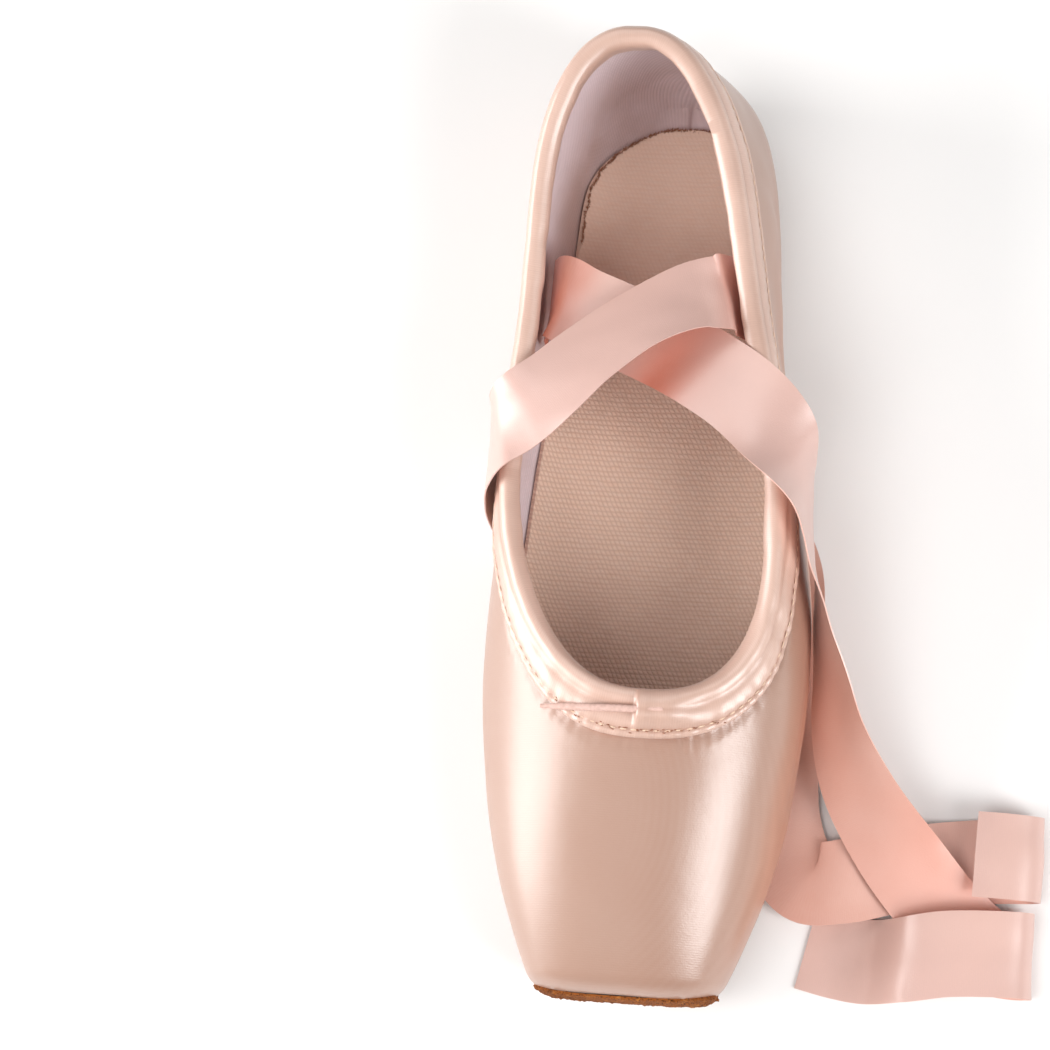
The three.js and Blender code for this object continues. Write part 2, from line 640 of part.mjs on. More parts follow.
// Suede cover: rays fan out from inside the toe until they reach its edge
function makeToeTip() {
  const pivot = new THREE.Vector3(0, 24, 20);
  const widest = 1.9;
  const skin = [];
  for (let i = 0; i < TIP_AROUND; i += 1) {
    const turn = (2 * Math.PI * i) / TIP_AROUND;
    const down = (1 - Math.cos(turn)) / 2;
    const side = Math.sin(turn) ** 2;
    const end = mix(TIP_TOP, TIP_UNDER, ease(down, 0.62, 0.98)) + TIP_SIDE * side;
    const hit = (tilt) => surface(pivot, new THREE.Vector3(
      Math.sin(tilt) * Math.sin(turn), -Math.cos(tilt), Math.sin(tilt) * Math.cos(turn)));
    let low = 0;
    let high = widest;
    for (let k = 0; k < 30; k += 1) {
      const middle = (low + high) / 2;
      if (hit(middle).y < end) low = middle;
      else high = middle;
    }
    const fine = Array.from({ length: FINE_RINGS + 1 }, (_, k) => hit((low * k) / FINE_RINGS));
    const run = runs(fine, TIP_BEND_WEIGHT);
    const total = run[FINE_RINGS];
    skin.push(Array.from({ length: TIP_RINGS + 1 }, (_, j) => along(fine, run, (total * j) / TIP_RINGS)));
  }
  const normals = normalsOf(skin).map((row) => row.map((n) => n.negate()));
  normals.forEach((row) => row[0].set(0, -1, 0));
  return solidBetween(raised(skin, normals, TIP_CLEAR + TIP_THICK), raised(skin, normals, TIP_CLEAR), true);
}

// A flat strip carried along its route, its edges turned as the rows say
function makeRibbon(rows) {
  const middle = new THREE.CatmullRomCurve3(rows.map((row) => new THREE.Vector3(row.x, row.y, row.z)));
  const edge = new THREE.CatmullRomCurve3(rows.map((row) => {
    const heading = THREE.MathUtils.degToRad(row.heading);
    const up = THREE.MathUtils.degToRad(row.up);
    const level = Math.cos(up);
    return new THREE.Vector3(Math.cos(heading) * level, Math.sin(heading) * level, Math.sin(up));
  }));
  const rings = [];
  for (let i = 0; i <= RIBBON_STEPS; i += 1) {
    const t = i / RIBBON_STEPS;
    const tangent = middle.getTangent(t);
    const across = edge.getPoint(t);
    across.addScaledVector(tangent, -across.dot(tangent)).normalize().multiplyScalar(RIBBON_WIDTH / 2);
    const face = tangent.clone().cross(across).normalize().multiplyScalar(RIBBON_THICK / 2);
    const p = middle.getPoint(t);
    rings.push([
      p.clone().add(across).add(face),
      p.clone().sub(across).add(face),
      p.clone().sub(across).sub(face),
      p.clone().add(across).sub(face),
    ]);
  }
  return solidAlong(rings, false);
}

function makeString() {
  const route = new THREE.CatmullRomCurve3(STRING.map((row) => new THREE.Vector3(row.x, row.y, row.z)));
  const outline = new THREE.Shape();
  outline.absarc(0, 0, STRING_WIDTH / 2, 0, 2 * Math.PI);
  return new THREE.ExtrudeGeometry(outline, {
    steps: STRING_STEPS, curveSegments: STRING_QUARTERS, extrudePath: route, bevelEnabled: false,
  });
}

const shoe = new THREE.Group();

function addPiece(name, geometry, colour, roughness) {
  const material = new THREE.MeshStandardMaterial({ color: colour, roughness, metalness: 0 });
  const mesh = new THREE.Mesh(geometry, material);
  mesh.name = name;
  shoe.add(mesh);
}

addPiece('upper', makeUpper(), SATIN, 0.4);
addPiece('outsole', makeOutsole(), LEATHER, 0.7);
addPiece('insole', makeInsole(), CANVAS, 0.9);
addPiece('toe_tip', makeToeTip(), SUEDE, 0.95);
addPiece('collar_binding', makeBinding(), BINDING_PINK, 0.45);
addPiece('drawstring_end', makeString(), BINDING_PINK, 0.6);
addPiece('ribbon_from_right', makeRibbon(RIBBON_FROM_RIGHT), RIBBON_PINK, 0.4);
addPiece('ribbon_from_left', makeRibbon(RIBBON_FROM_LEFT), RIBBON_PINK, 0.4);

export default shoe;
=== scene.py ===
# A satin pointe shoe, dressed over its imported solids.
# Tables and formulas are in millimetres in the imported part's frame: the toe points to -Y, +X is the
# right-hand side seen from the toe, +Z is up and the floor is z = 0. Blender gets metres.

import math

import bpy
import numpy as np
from bpy.props import FloatProperty, FloatVectorProperty, PointerProperty
from mathutils import Matrix, Vector


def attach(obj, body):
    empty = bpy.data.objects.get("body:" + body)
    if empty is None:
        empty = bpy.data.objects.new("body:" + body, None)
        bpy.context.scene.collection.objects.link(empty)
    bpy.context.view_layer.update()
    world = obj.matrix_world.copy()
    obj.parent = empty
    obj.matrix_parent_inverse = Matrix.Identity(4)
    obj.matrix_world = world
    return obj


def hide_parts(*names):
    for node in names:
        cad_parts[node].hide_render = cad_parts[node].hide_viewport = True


bl_info = {
    "name": "Pointe shoe",
    "version": (1, 0, 0),
    "blender": (4, 5, 0),
    "location": "View3D > Sidebar > Pointe shoe",
    "description": "Builds the satin, suede, leather, canvas and ribbons of a pointe shoe",
    "category": "Object",
}

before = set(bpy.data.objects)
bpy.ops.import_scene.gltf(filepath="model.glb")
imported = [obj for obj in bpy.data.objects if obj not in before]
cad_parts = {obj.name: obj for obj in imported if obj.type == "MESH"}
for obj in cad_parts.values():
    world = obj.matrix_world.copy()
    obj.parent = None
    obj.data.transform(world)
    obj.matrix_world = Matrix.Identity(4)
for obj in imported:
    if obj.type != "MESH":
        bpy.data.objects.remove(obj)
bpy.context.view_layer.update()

# The last: sizes and sections, as in the part's source
LENGTH = 236.0
TOE_EDGE = 5.0
HEEL_START, HEEL_ROUND, HEEL_BULGE = 186.0, 2.35, 21.0
HEEL_TUCK, HEEL_UNDERCUT = 0.0021, 0.014
HEEL_LEAN, THROAT_SET = -7.0, 5.5
THROAT, THROAT_END, THROAT_ROUND = 70.0, 125.0, 2.5
BOX_WALL, QUARTER_WALL = 3.4, 1.8
LASTING_MARGIN = 4.5
TIP_CLEAR, TIP_THICK = 0.7, 1.1
MIDDLE = (LENGTH - TIP_CLEAR - TIP_THICK) / 2
PIVOT_HEIGHT = 22.0
SOLE_CLEAR, UNDER_SHOE = 0.55, 3.3
SOCK_CLEAR, SOCK_THICK, SOCK_RISE = 0.7, 1.8, 7.5
BINDING_GAP, BINDING_THICK, BEAD = 0.42, 1.1, 1.3

# Where one end of the binding laps over the other, across the throat
LAP = -2.9

# Fineness of the pieces: lines round or along each one, then rings or columns across it
UPPER_GRID, LINING_GRID, TOE_GRID = (480, 96), (300, 56), (300, 46)
OUTSOLE_GRID, INSOLE_GRID = (150, 36), (240, 64)
BINDING_LINES, RIBBON_LINES, DRAWSTRING_LINES, DRAWSTRING_SIDES = 620, 520, 90, 20
HALVINGS, LOOP_POINTS, LINE_POINTS = 36, 1500, 150

SECTIONS = np.array([
    # station, half width, underside, top, widest height, squareness above, squareness below
    (0, 22.3, 5.0, 36.0, 20.0, 2.60, 2.6),
    (12, 27.5, 4.0, 40.2, 20.0, 2.45, 2.7),
    (28, 33.0, 3.3, 44.6, 20.0, 2.30, 2.8),
    (50, 37.8, 3.3, 49.0, 20.0, 2.20, 2.8),
    (80, 40.3, 3.3, 54.2, 20.0, 2.30, 2.8),
    (96, 40.0, 3.3, 57.5, 20.5, 2.50, 2.8),
    (116, 38.0, 5.6, 61.5, 22.0, 2.80, 2.7),
    (142, 34.0, 9.6, 66.5, 25.0, 2.80, 2.6),
    (168, 30.4, 8.6, 72.0, 25.5, 2.45, 2.6),
    (198, 28.4, 3.3, 77.0, 23.0, 2.25, 2.7),
    (236, 27.6, 3.3, 80.0, 22.0, 2.30, 2.7),
])
COLLAR = np.array([(0, 47.0), (146, 47.5), (176, 50.0), (205, 55.0), (225, 60.5), (236, 62.0)])
SOLE = np.array([
    (21, 0), (22.5, 6.5), (27, 11.5), (36, 16), (55, 20.2), (78, 21.5), (100, 20), (125, 15.8),
    (150, 13.4), (175, 15), (198, 18.4), (212, 18.2), (222, 14.6), (228, 9.2), (230.4, 4.5), (231, 0),
])
LINES = np.array([
    # share of the way round, share of the collar, of the widest outline, of the lasted edge, pivot
    (0.00, 0.000, 0.000, 0.000, 38), (0.06, 0.042, 0.044, 0.024, 39), (0.12, 0.084, 0.088, 0.047, 42),
    (0.18, 0.126, 0.161, 0.090, 50), (0.24, 0.173, 0.249, 0.156, 62), (0.30, 0.225, 0.341, 0.255, 78),
    (0.36, 0.293, 0.432, 0.373, 97), (0.42, 0.366, 0.524, 0.491, 121), (0.50, 0.461, 0.606, 0.601, 143.5),
    (0.70, 0.733, 0.799, 0.849, 196), (0.78, 0.791, 0.846, 0.896, 203), (0.88, 0.890, 0.923, 0.943, 205),
    (1.00, 1.000, 1.000, 1.000, 205),
])

# Ribbons: x, y, z of the middle line, heading of one edge in plan, and how far that edge points up
RIBBON_WIDTH, ABOVE_FLOOR = 21.0, 0.03
RIBBON_FROM_RIGHT = np.array([
    (22, 54.2, 30, -80, 0), (20.8, 54.2, 40, -80, 0), (18, 54, 47.4, -77, 3), (16.8, 53.9, 50.4, -73, 14),
    (10.8, 52.8, 52, -68, 23), (3, 49.3, 53.4, -57, 29), (-6.6, 43.2, 54.4, -47, 30),
    (-16.3, 35, 55.2, -45, 27), (-23.4, 28, 55.2, -50, 20), (-30.6, 22, 54, -66, 10),
    (-36.3, 17.4, 50.6, -84, 8), (-39.2, 13.4, 44.4, -90, 8), (-39.9, 9.8, 37, -92, 6),
    (-39.8, 7.6, 29, -92, 3), (-39.6, 6.9, 20, -91, 0), (-38.2, 6.8, 12, -90, 0), (-34.4, 6.8, 5.2, -90, 0),
    (-28.5, 6.9, 1.3, -90, 0), (-20, 6.9, 0.6, -90, 0), (0, 6.9, 0.6, -90, 0), (12, 6.9, 0.6, -90, 0),
    (20.5, 5.2, 0.6, -115, 0), (26.6, 0.4, 0.7, -143, 0), (30.2, -6.8, 1.6, -168, -6),
    (32, -16, 3.9, -180, -16), (32.4, -30, 4.8, -180, -21), (32.4, -44, 4.4, -180, -19),
    (32.4, -58, 2.6, -180, -10), (33.2, -69, 1.4, -174, -3), (36.6, -79, 2.2, -146, 0),
    (41.6, -84.6, 4.4, -112, 3), (50.2, -84.2, 5.8, -92, 4), (60.8, -81.2, 4, -86, 1),
    (74.1, -78.4, 2, -84, 0), (88.8, -76.6, 1.4, -88, 0), (96.6, -76.2, 1.9, -90, 0),
    (99.1, -76.2, 5.2, -90, 0), (96.2, -76.2, 9, -90, 0), (89.4, -76, 10.6, -90, 0),
    (82.8, -75.8, 10, -92, 0),
])
RIBBON_FROM_LEFT = np.array([
    (-28.4, 53.2, 30, -95, 0), (-27.8, 53.2, 38.2, -95, 0), (-25.2, 53, 43.2, -98, 0),
    (-19.5, 50, 44.6, -106, 0), (-8.6, 45.6, 44.8, -124, 0), (3.4, 40.2, 45.6, -129, 0),
    (14.2, 34, 49.4, -128, 0), (22.4, 28.4, 52, -122, 2), (29.1, 22.1, 53.2, -114, 8),
    (34.4, 15.1, 52.4, -104, 18), (38, 8, 49.2, -94, 30), (40, 0.4, 44.2, -89, 43),
    (41.2, -7.6, 38.8, -82, 57), (43, -16.6, 33.4, -60, 68), (44.5, -26.7, 28.4, -23, 69),
    (46.4, -37.3, 23.8, -1, 62), (48.6, -48.5, 19.8, 11, 50), (53, -60.6, 15.4, 15, 32),
    (59.7, -71.4, 11.4, 14, 15), (67.6, -81.4, 7.2, 31, 2), (77, -91.8, 3.8, 43, 2),
    (86, -98.6, 1.6, 66, 0), (92.7, -99.9, 1, 86, 0), (96.6, -99.9, 2.2, 90, 0), (97.9, -99.9, 6, 90, 0),
    (95.3, -100, 9.8, 90, 0), (87.6, -100.2, 11.6, 90, 0), (76.7, -100.9, 11.6, 88, 0),
    (66.9, -102.6, 9.4, 84, 0), (57.5, -103.4, 2.8, 84, -2), (49.9, -102.4, 0.8, 88, 0),
    (41.9, -100.6, 0.6, 92, 0),
])
# The drawstring's free end: x, y, z of its middle line from under the binding's cut end, its width, and its
# thickness as a share of that
STRING_WIDTH, STRING_FLAT = 1.8, 0.72
STRING = np.array([
    (9.0, -49.8, 54.9), (3.0, -50.1, 54.9), (-2.5, -50.1, 54.5), (-8.5, -50.1, 53.6), (-14.8, -50.0, 52.0),
    (-21.4, -49.9, 49.9),
])


def hex_colour(code):
    """An sRGB hex colour as linear red, green and blue, and full alpha."""
    value = np.array([int(code[i:i + 2], 16) for i in (0, 2, 4)]) / 255
    return (*np.where(value <= 0.04045, value / 12.92, ((value + 0.055) / 1.055) ** 2.4), 1.0)


def colour(name, description, code):
    return FloatVectorProperty(name=name, description=description, subtype="COLOR", size=4, min=0, max=1,
                               default=hex_colour(code))


def millimetres(name, description, default):
    return FloatProperty(name=name, description=description, default=default / 1000, unit="LENGTH",
                         subtype="DISTANCE", min=0, precision=5)


class ShoeSizes(bpy.types.PropertyGroup):
    """Sizes that a user would change."""
    weave: millimetres("Satin thread", "Spacing of the satin's threads, drawn coarse enough to show", 0.55)
    basket: millimetres("Canvas cell", "Width of one cell of the insole's basket weave", 1.15)
    pleat: millimetres("Pleat depth", "Depth of the pleats under the box", 0.7)
    pucker: millimetres("Pucker depth", "Depth of the gathers beside the binding's seam", 0.3)
    stitch: millimetres("Stitch spacing", "Distance from one stitch of the binding to the next", 2.5)
    nap: millimetres("Suede nap", "How far the suede's nap stands up", 0.28)


class ShoeColours(bpy.types.PropertyGroup):
    """Colours that a user would change."""
    satin: colour("Satin", "Satin of the upper", "AE8B7A")
    satin_deep: colour("Satin in shade", "Darker tone of the upper's satin", "A57A66")
    binding: colour("Binding", "Satin binding of the collar", "DBB9A9")
    ribbon: colour("Ribbon", "Glossy face of the ribbons", "D2ADA3")
    ribbon_back: colour("Ribbon reverse", "Duller reverse of the ribbons", "E9BEB0")
    lining: colour("Lining", "Cotton lining", "E4D4D8")
    canvas: colour("Canvas", "Canvas insole", "EDCEBA")
    suede: colour("Suede", "Suede cover of the toe", "A05C2A")
    leather: colour("Leather", "Leather sole", "5C3A28")
    floor: colour("Floor", "Studio floor", "F6F5F4")


def settings():
    scene = bpy.context.scene
    return scene.shoe_sizes, scene.shoe_colours


# Curves and the shape of the last

def curve(x, y):
    """A smooth curve through points that never overshoots them: a cubic on each span, whose slope at a
    point is the weighted harmonic mean of the slopes beside it, and zero at a turn."""
    h = np.diff(x)
    slope = np.diff(y) / h
    tangent = np.empty(len(y))
    tangent[[0, -1]] = slope[[0, -1]]
    before, after = 2 * h[1:] + h[:-1], 2 * h[:-1] + h[1:]
    with np.errstate(divide="ignore", invalid="ignore"):
        mean = (before + after) / (before / slope[:-1] + after / slope[1:])
    tangent[1:-1] = np.where(slope[:-1] * slope[1:] > 0, mean, 0)

    def at(value):
        v = np.clip(value, x[0], x[-1])
        i = np.clip(np.searchsorted(x, v) - 1, 0, len(h) - 1)
        t = (v - x[i]) / h[i]
        level = y[i] * (1 + 2 * t) * (1 - t) ** 2 + y[i + 1] * t * t * (3 - 2 * t)
        return level + h[i] * (tangent[i] * t * (1 - t) ** 2 - tangent[i + 1] * t * t * (1 - t))
    return at


half_at, under_at, over_at, wide_at, above_at, below_at = [
    curve(SECTIONS[:, 0], SECTIONS[:, k]) for k in range(1, 7)]
collar_height = curve(COLLAR[:, 0], COLLAR[:, 1])
sole_half = curve(SOLE[:, 0], SOLE[:, 1])
collar_share, outline_share, feather_share, pivot_at = [curve(LINES[:, 0], LINES[:, k]) for k in range(1, 5)]


def ease(value, low, high):
    """0 below low, 1 above high, and a smooth S between them."""
    t = np.clip((value - low) / (high - low), 0, 1)
    return t * t * (3 - 2 * t)


def bump(value, centre, width):
    """A bell of height 1 and that half width."""
    return np.exp(-(((value - centre) / width) ** 2))


def eased(share):
    return (1 - np.cos(np.pi * share)) / 2


def unit(v):
    return v / np.maximum(np.linalg.norm(v, axis=-1, keepdims=True), 1e-12)


def heel_back(z):
    rise = z - HEEL_BULGE
    return LENGTH - np.where(rise > 0, HEEL_TUCK, HEEL_UNDERCUT) * rise * rise


def half_width(s, z):
    """Half width of the last at a station and height, or -1 outside it: the section's superellipse at that
    height, closed at the heel by another superellipse and rounded at the toe's edge."""
    s, z = np.broadcast_arrays(np.asarray(s, float), np.asarray(z, float))
    back = heel_back(z)
    rest = np.clip(TOE_EDGE - s, 0, TOE_EDGE)
    inset = TOE_EDGE - np.sqrt(TOE_EDGE ** 2 - rest ** 2)
    wide = wide_at(s)
    up = z > wide
    reach = np.where(up, over_at(s) - wide, wide - under_at(s)) - inset
    power = np.where(up, above_at(s), below_at(s))
    away = np.abs(z - wide) / reach
    close = np.clip((s - HEEL_START) / (back - HEEL_START), 0, 1)
    heel = (1 - close ** HEEL_ROUND) ** (1 / HEEL_ROUND)
    half = (half_at(s) - inset) * np.maximum(1 - np.minimum(away, 1) ** power, 0) ** (1 / power) * heel
    return np.where((s < 0) | (s >= back) | (away >= 1), -1.0, half)


def height_at(s, x, up):
    """Height of the last's surface over or under a point, found by halving."""
    s, x = np.broadcast_arrays(np.asarray(s, float), np.abs(np.asarray(x, float)))
    near = wide_at(s)
    far = over_at(s) if up else under_at(s)
    for _ in range(HALVINGS):
        middle = (near + far) / 2
        within = half_width(s, middle) > x
        near, far = np.where(within, middle, near), np.where(within, far, middle)
    return near


def surface(pivot, direction):
    """Where rays from pivots inside the last meet its surface, found by halving."""
    near = np.zeros(direction.shape[:-1] + (1,))
    far = near + 130.0
    for _ in range(HALVINGS):
        middle = (near + far) / 2
        p = pivot + direction * middle
        within = (np.abs(p[..., 0]) < half_width(p[..., 1], p[..., 2]))[..., None]
        near, far = np.where(within, middle, near), np.where(within, far, middle)
    return pivot + direction * near


def placed(p):
    """From the symmetric last to the standing shoe: the quarters lean, the throat sits to one side."""
    x, s, z = p[..., 0], p[..., 1], p[..., 2]
    lean = HEEL_LEAN * ease(s, 90, 215) * np.clip((z - 8) / 50, 0, 1.2)
    sideways = THROAT_SET * bump(s, THROAT, 30) * np.clip((z - 25) / 30, 0, 1)
    return np.stack([x + lean + sideways, s - MIDDLE, z], -1)


def half_loop(point_at):
    """The right half of a loop on the last, as a function of the share of its own length."""
    points = point_at(np.linspace(0, 1, LOOP_POINTS + 1))
    run = np.r_[0, np.cumsum(np.linalg.norm(np.diff(points, axis=0), axis=1))]
    return lambda share: np.stack([np.interp(share * run[-1], run, points[:, k]) for k in range(3)], -1)


def collar_point(share):
    """Rounded in plan by a superellipse at the throat, then at the collar's height to the heel."""
    end = float(heel_back(collar_height(LENGTH))) - 1e-4
    s = THROAT + (end - THROAT) * eased(share)
    side = half_width(THROAT_END, collar_height(THROAT_END))
    u = np.clip((THROAT_END - s) / (THROAT_END - THROAT), 0, 1)
    x_round = side * np.maximum(1 - u ** THROAT_ROUND, 0) ** (1 / THROAT_ROUND)
    z_side = collar_height(s)
    x_side = np.maximum(half_width(s, z_side), 0)
    past = s >= THROAT_END
    z = np.where(past, z_side, height_at(s, x_round, True))
    return np.stack([np.where(past, x_side, x_round), s, z], -1)


def outline_point(share):
    """Across the flat toe, then along the widest line to the heel."""
    across = 0.07  # share of the loop that the toe's flat end takes
    t = np.clip((share - across) / (1 - across), 0, 1)
    s = (LENGTH - 0.02) * eased(t)
    x = np.where(share < across, (SECTIONS[0, 1] - TOE_EDGE) * share / across,
                 np.maximum(half_width(np.maximum(s, 1e-6), wide_at(s)), 0))
    return np.stack([x, s, wide_at(s)], -1)


def feather_point(share):
    """The lasted edge: a margin inside the sole's outline."""
    start, end = SOLE[0, 0] + LASTING_MARGIN, SOLE[-1, 0] - LASTING_MARGIN
    s = start + (end - start) * eased(share)
    ends = np.sqrt(np.clip((s - start) / 20, 0, 1) * np.clip((end - s) / 16, 0, 1))
    x = np.maximum(sole_half(s) - LASTING_MARGIN, 0) * ends
    return np.stack([x, s, height_at(s, x, False)], -1)


collar_loop, outline_loop, feather_loop = [half_loop(f) for f in (collar_point, outline_point, feather_point)]


def upper_lines(count):
    """Lines down the last from the collar over the widest outline to the lasted edge, one row each.
    A parabola through the three loops aims a ray from a pivot inside, so every point lies on the last."""
    around = np.arange(count) / count
    share = np.where(around <= 0.5, 2 * around, 2 - 2 * around)
    top = collar_loop(collar_share(share))
    wide = outline_loop(outline_share(share))
    edge = feather_loop(feather_share(share))
    pivot = np.stack([0 * share, pivot_at(share), 0 * share + PIVOT_HEIGHT], -1)[:, None]
    b = np.linspace(0, 1, LINE_POINTS + 1)[None, :, None]
    guide = (2 * wide - (top + edge) / 2)[:, None]
    aim = top[:, None] * (1 - b) ** 2 + guide * 2 * b * (1 - b) + edge[:, None] * b * b
    points = surface(pivot, unit(aim - pivot))
    points[:, 0], points[:, -1] = top, edge
    points[..., 0] *= np.where(around <= 0.5, 1, -1)[:, None]
    return points


def grid_normals(p):
    """Outward normals of a grid whose rows run round the shoe, from central differences."""
    turn = np.roll(p, -1, 0) - np.roll(p, 1, 0)
    turn = turn[:, np.clip(np.arange(p.shape[1]), 1, p.shape[1] - 2)]
    return unit(np.cross(np.gradient(p, axis=1), turn))


def runs(p, bend=0.0):
    """Distance run along each line, with every radian of bend counted as `bend` millimetres more."""
    step = np.diff(p, axis=1)
    length = np.linalg.norm(step, axis=2)
    direction = unit(step)
    cosine = np.sum(direction[:, 1:] * direction[:, :-1], axis=2)
    turn = np.arccos(np.clip(cosine, -1, 1))
    turn = np.concatenate([turn, turn[:, -1:]], 1)
    return np.concatenate([np.zeros((len(p), 1)), np.cumsum(length + bend * turn, 1)], 1)


def at_run(values, run, where):
    """Values of each line at given distances along it. `where` has one row per line."""
    return np.stack([
        np.stack([np.interp(w, r, v[:, k]) for k in range(v.shape[1])], -1)
        for v, r, w in zip(values, run, where)])


def wall_at(s):
    return BOX_WALL + (QUARTER_WALL - BOX_WALL) * ease(s, 58, 98)


def unevenness(p, size, seed, count=14):
    """Smooth seeded unevenness, about -1 to 1: a sum of plane waves of about that length in millimetres,
    in random directions."""
    rng = np.random.default_rng(seed)
    heading = unit(rng.normal(size=(count, 3))) / (size * rng.uniform(0.6, 1.7, (count, 1)))
    phase = rng.uniform(0, 2 * np.pi, count)
    return np.sin(2 * np.pi * (p @ heading.T) + phase).sum(-1) / math.sqrt(count)


# Meshes

def squares(rows, columns, wrap=False):
    """Corner numbers of the squares of a grid."""
    i = np.arange(rows if wrap else rows - 1)[:, None]
    j = np.arange(columns - 1)[None, :]
    next_row = (i + 1) % rows
    corners = [i * columns + j, i * columns + j + 1, next_row * columns + j + 1, next_row * columns + j]
    return np.stack(corners, -1).reshape(-1, 4)


def wall_faces(rows, columns, wrap):
    """Faces of a closed wall between an outer and an inner grid: both grids and the strips that close it."""
    other = rows * columns
    face = squares(rows, columns, wrap)
    i = np.arange(rows if wrap else rows - 1)
    nxt = (i + 1) % rows
    strips = []
    for edge, turned in ((0, False), (columns - 1, True)):
        a, b = i * columns + edge, nxt * columns + edge
        strip = np.stack([b, a, a + other, b + other], -1)
        strips.append(strip[:, ::-1] if not turned else strip)
    if not wrap:
        j = np.arange(columns - 1)
        for row, turned in ((0, True), (rows - 1, False)):
            a, b = row * columns + j, row * columns + j + 1
            strip = np.stack([b, a, a + other, b + other], -1)
            strips.append(strip[:, ::-1] if not turned else strip)
    return np.concatenate([face, face[:, ::-1] + other] + strips)


SHARP_EDGE = 60
SAME_POINT = 1e-7


def add_piece(name, points, faces, materials, uv=None, attributes=None, face_material=None):
    """Puts whole arrays into one mesh, millimetres in and metres out. Points that coincide become one, which
    closes poles and ends, squares that lose a corner become triangles, and the sign of the volume turns the
    faces outwards."""
    points = points.reshape(-1, 3) / 1000
    faces = np.asarray(faces)
    a, b, c, d = (points[faces[:, k]] for k in range(4))
    if np.sum(a * (np.cross(b, c) + np.cross(c, d))) < 0:
        faces = faces[:, ::-1]
    _, first, joined = np.unique(np.round(points / SAME_POINT).astype(np.int64), axis=0,
                                 return_index=True, return_inverse=True)
    welded = joined.reshape(-1)[faces]
    keep = welded != np.roll(welded, -1, axis=1)
    whole = keep.sum(axis=1) > 2
    keep, welded, faces = keep[whole], welded[whole], faces[whole]
    mesh = bpy.data.meshes.new(name)
    mesh.vertices.add(len(first))
    mesh.vertices.foreach_set("co", points[first].astype(np.float32).ravel())
    mesh.loops.add(int(keep.sum()))
    mesh.loops.foreach_set("vertex_index", welded[keep].astype(np.int32))
    mesh.polygons.add(len(faces))
    starts = np.r_[0, np.cumsum(keep.sum(axis=1))[:-1]]
    mesh.polygons.foreach_set("loop_start", starts.astype(np.int32))
    mesh.update(calc_edges=True)
    if uv is not None:
        layer = mesh.uv_layers.new(name="cloth")
        layer.data.foreach_set("uv", uv.reshape(-1, 2)[faces[keep]].astype(np.float32).ravel())
    for key, value in (attributes or {}).items():
        value = value.reshape(-1)[first].astype(np.float32)
        mesh.attributes.new(key, "FLOAT", "POINT").data.foreach_set("value", value)
    for material in materials:
        mesh.materials.append(material)
    if face_material is not None:
        mesh.polygons.foreach_set("material_index", face_material[whole].astype(np.int32))
    if mesh.validate():
        raise RuntimeError(name + " has broken faces")
    mesh.shade_smooth()
    mesh.set_sharp_from_angle(angle=math.radians(SHARP_EDGE))
    piece = bpy.data.objects.new(name, mesh)
    bpy.context.scene.collection.objects.link(piece)
    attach(piece, "root")
    return piece


def stitches(name, centres, along, out, length, width, material, height=0.6):
    """Many small stitches in one mesh: a rounded stick of five rings, its middle the thickest, set at each
    centre along its direction."""
    sides, rings = 6, 5
    ring = np.linspace(0, 2 * np.pi, sides, endpoint=False)
    t = np.linspace(-1, 1, rings)
    swell = np.sqrt(np.maximum(1 - t ** 2 * 0.92, 0))
    along, out = unit(along), unit(out)
    across = unit(np.cross(out, along))
    lift = (1 - t ** 2) * width * 0.35
    sideways = swell[:, None] * np.cos(ring) * width / 2
    upwards = swell[:, None] * np.sin(ring) * width * height / 2 + lift[:, None]
    points = centres[:, None, None] + along[:, None, None] * (t * length / 2)[None, :, None, None]
    points = points + across[:, None, None] * sideways[None, ..., None]
    points = (points + out[:, None, None] * upwards[None, ..., None]).reshape(len(centres), -1, 3)
    i, j = np.meshgrid(np.arange(rings - 1) * sides, np.arange(sides), indexing="ij")
    k = (j + 1) % sides
    side = np.stack([i + j, i + k, i + sides + k, i + sides + j], -1).reshape(-1, 4)
    last = (rings - 1) * sides
    ends = np.array([(0, 3, 2, 1), (0, 5, 4, 3), (last, last + 1, last + 2, last + 3),
                     (last, last + 3, last + 4, last + 5)])
    each = np.concatenate([side, ends])
    faces = (each[None] + (np.arange(len(centres)) * rings * sides)[:, None, None]).reshape(-1, 4)
    return add_piece(name, points, faces, [material])


# Materials. Sizes of patterns are in millimetres. Thread crossings, nap, pores and twist are finer on the
# real shoe than the 0.4 to 0.8 mm given here, and are drawn that coarse so that they show.

def node(tree, kind, inputs=(), output=0, **values):
    """Adds one node, sets its values, links or fills its inputs, given by name or in order, and returns one
    of its outputs."""
    made = tree.nodes.new("ShaderNode" + kind)
    for key, value in values.items():
        setattr(made, key, value)
    for key, value in inputs.items() if isinstance(inputs, dict) else enumerate(inputs):
        if isinstance(value, bpy.types.NodeSocket):
            tree.links.new(value, made.inputs[key])
        else:
            made.inputs[key].default_value = value
    return made.outputs[output] if made.outputs else None


def new_material(name):
    """An empty material and its node tree."""
    material = bpy.data.materials.new(name)
    material.use_nodes = True
    tree = material.node_tree
    tree.nodes.clear()
    return material, tree


def coats(tree, tone, *layers):
    """Lays colours over a tone in turn, each with the share of it that it hides."""
    for share, over in layers:
        tone = node(tree, "Mix", {0: share, 6: tone, 7: over}, 2, data_type="RGBA")
    return tone


def per_metre(size):
    """Scale of a noise on Object coordinates, from the size of its blotches in millimetres."""
    return 1000 / size


SMOOTH = {"interpolation_type": "SMOOTHSTEP"}


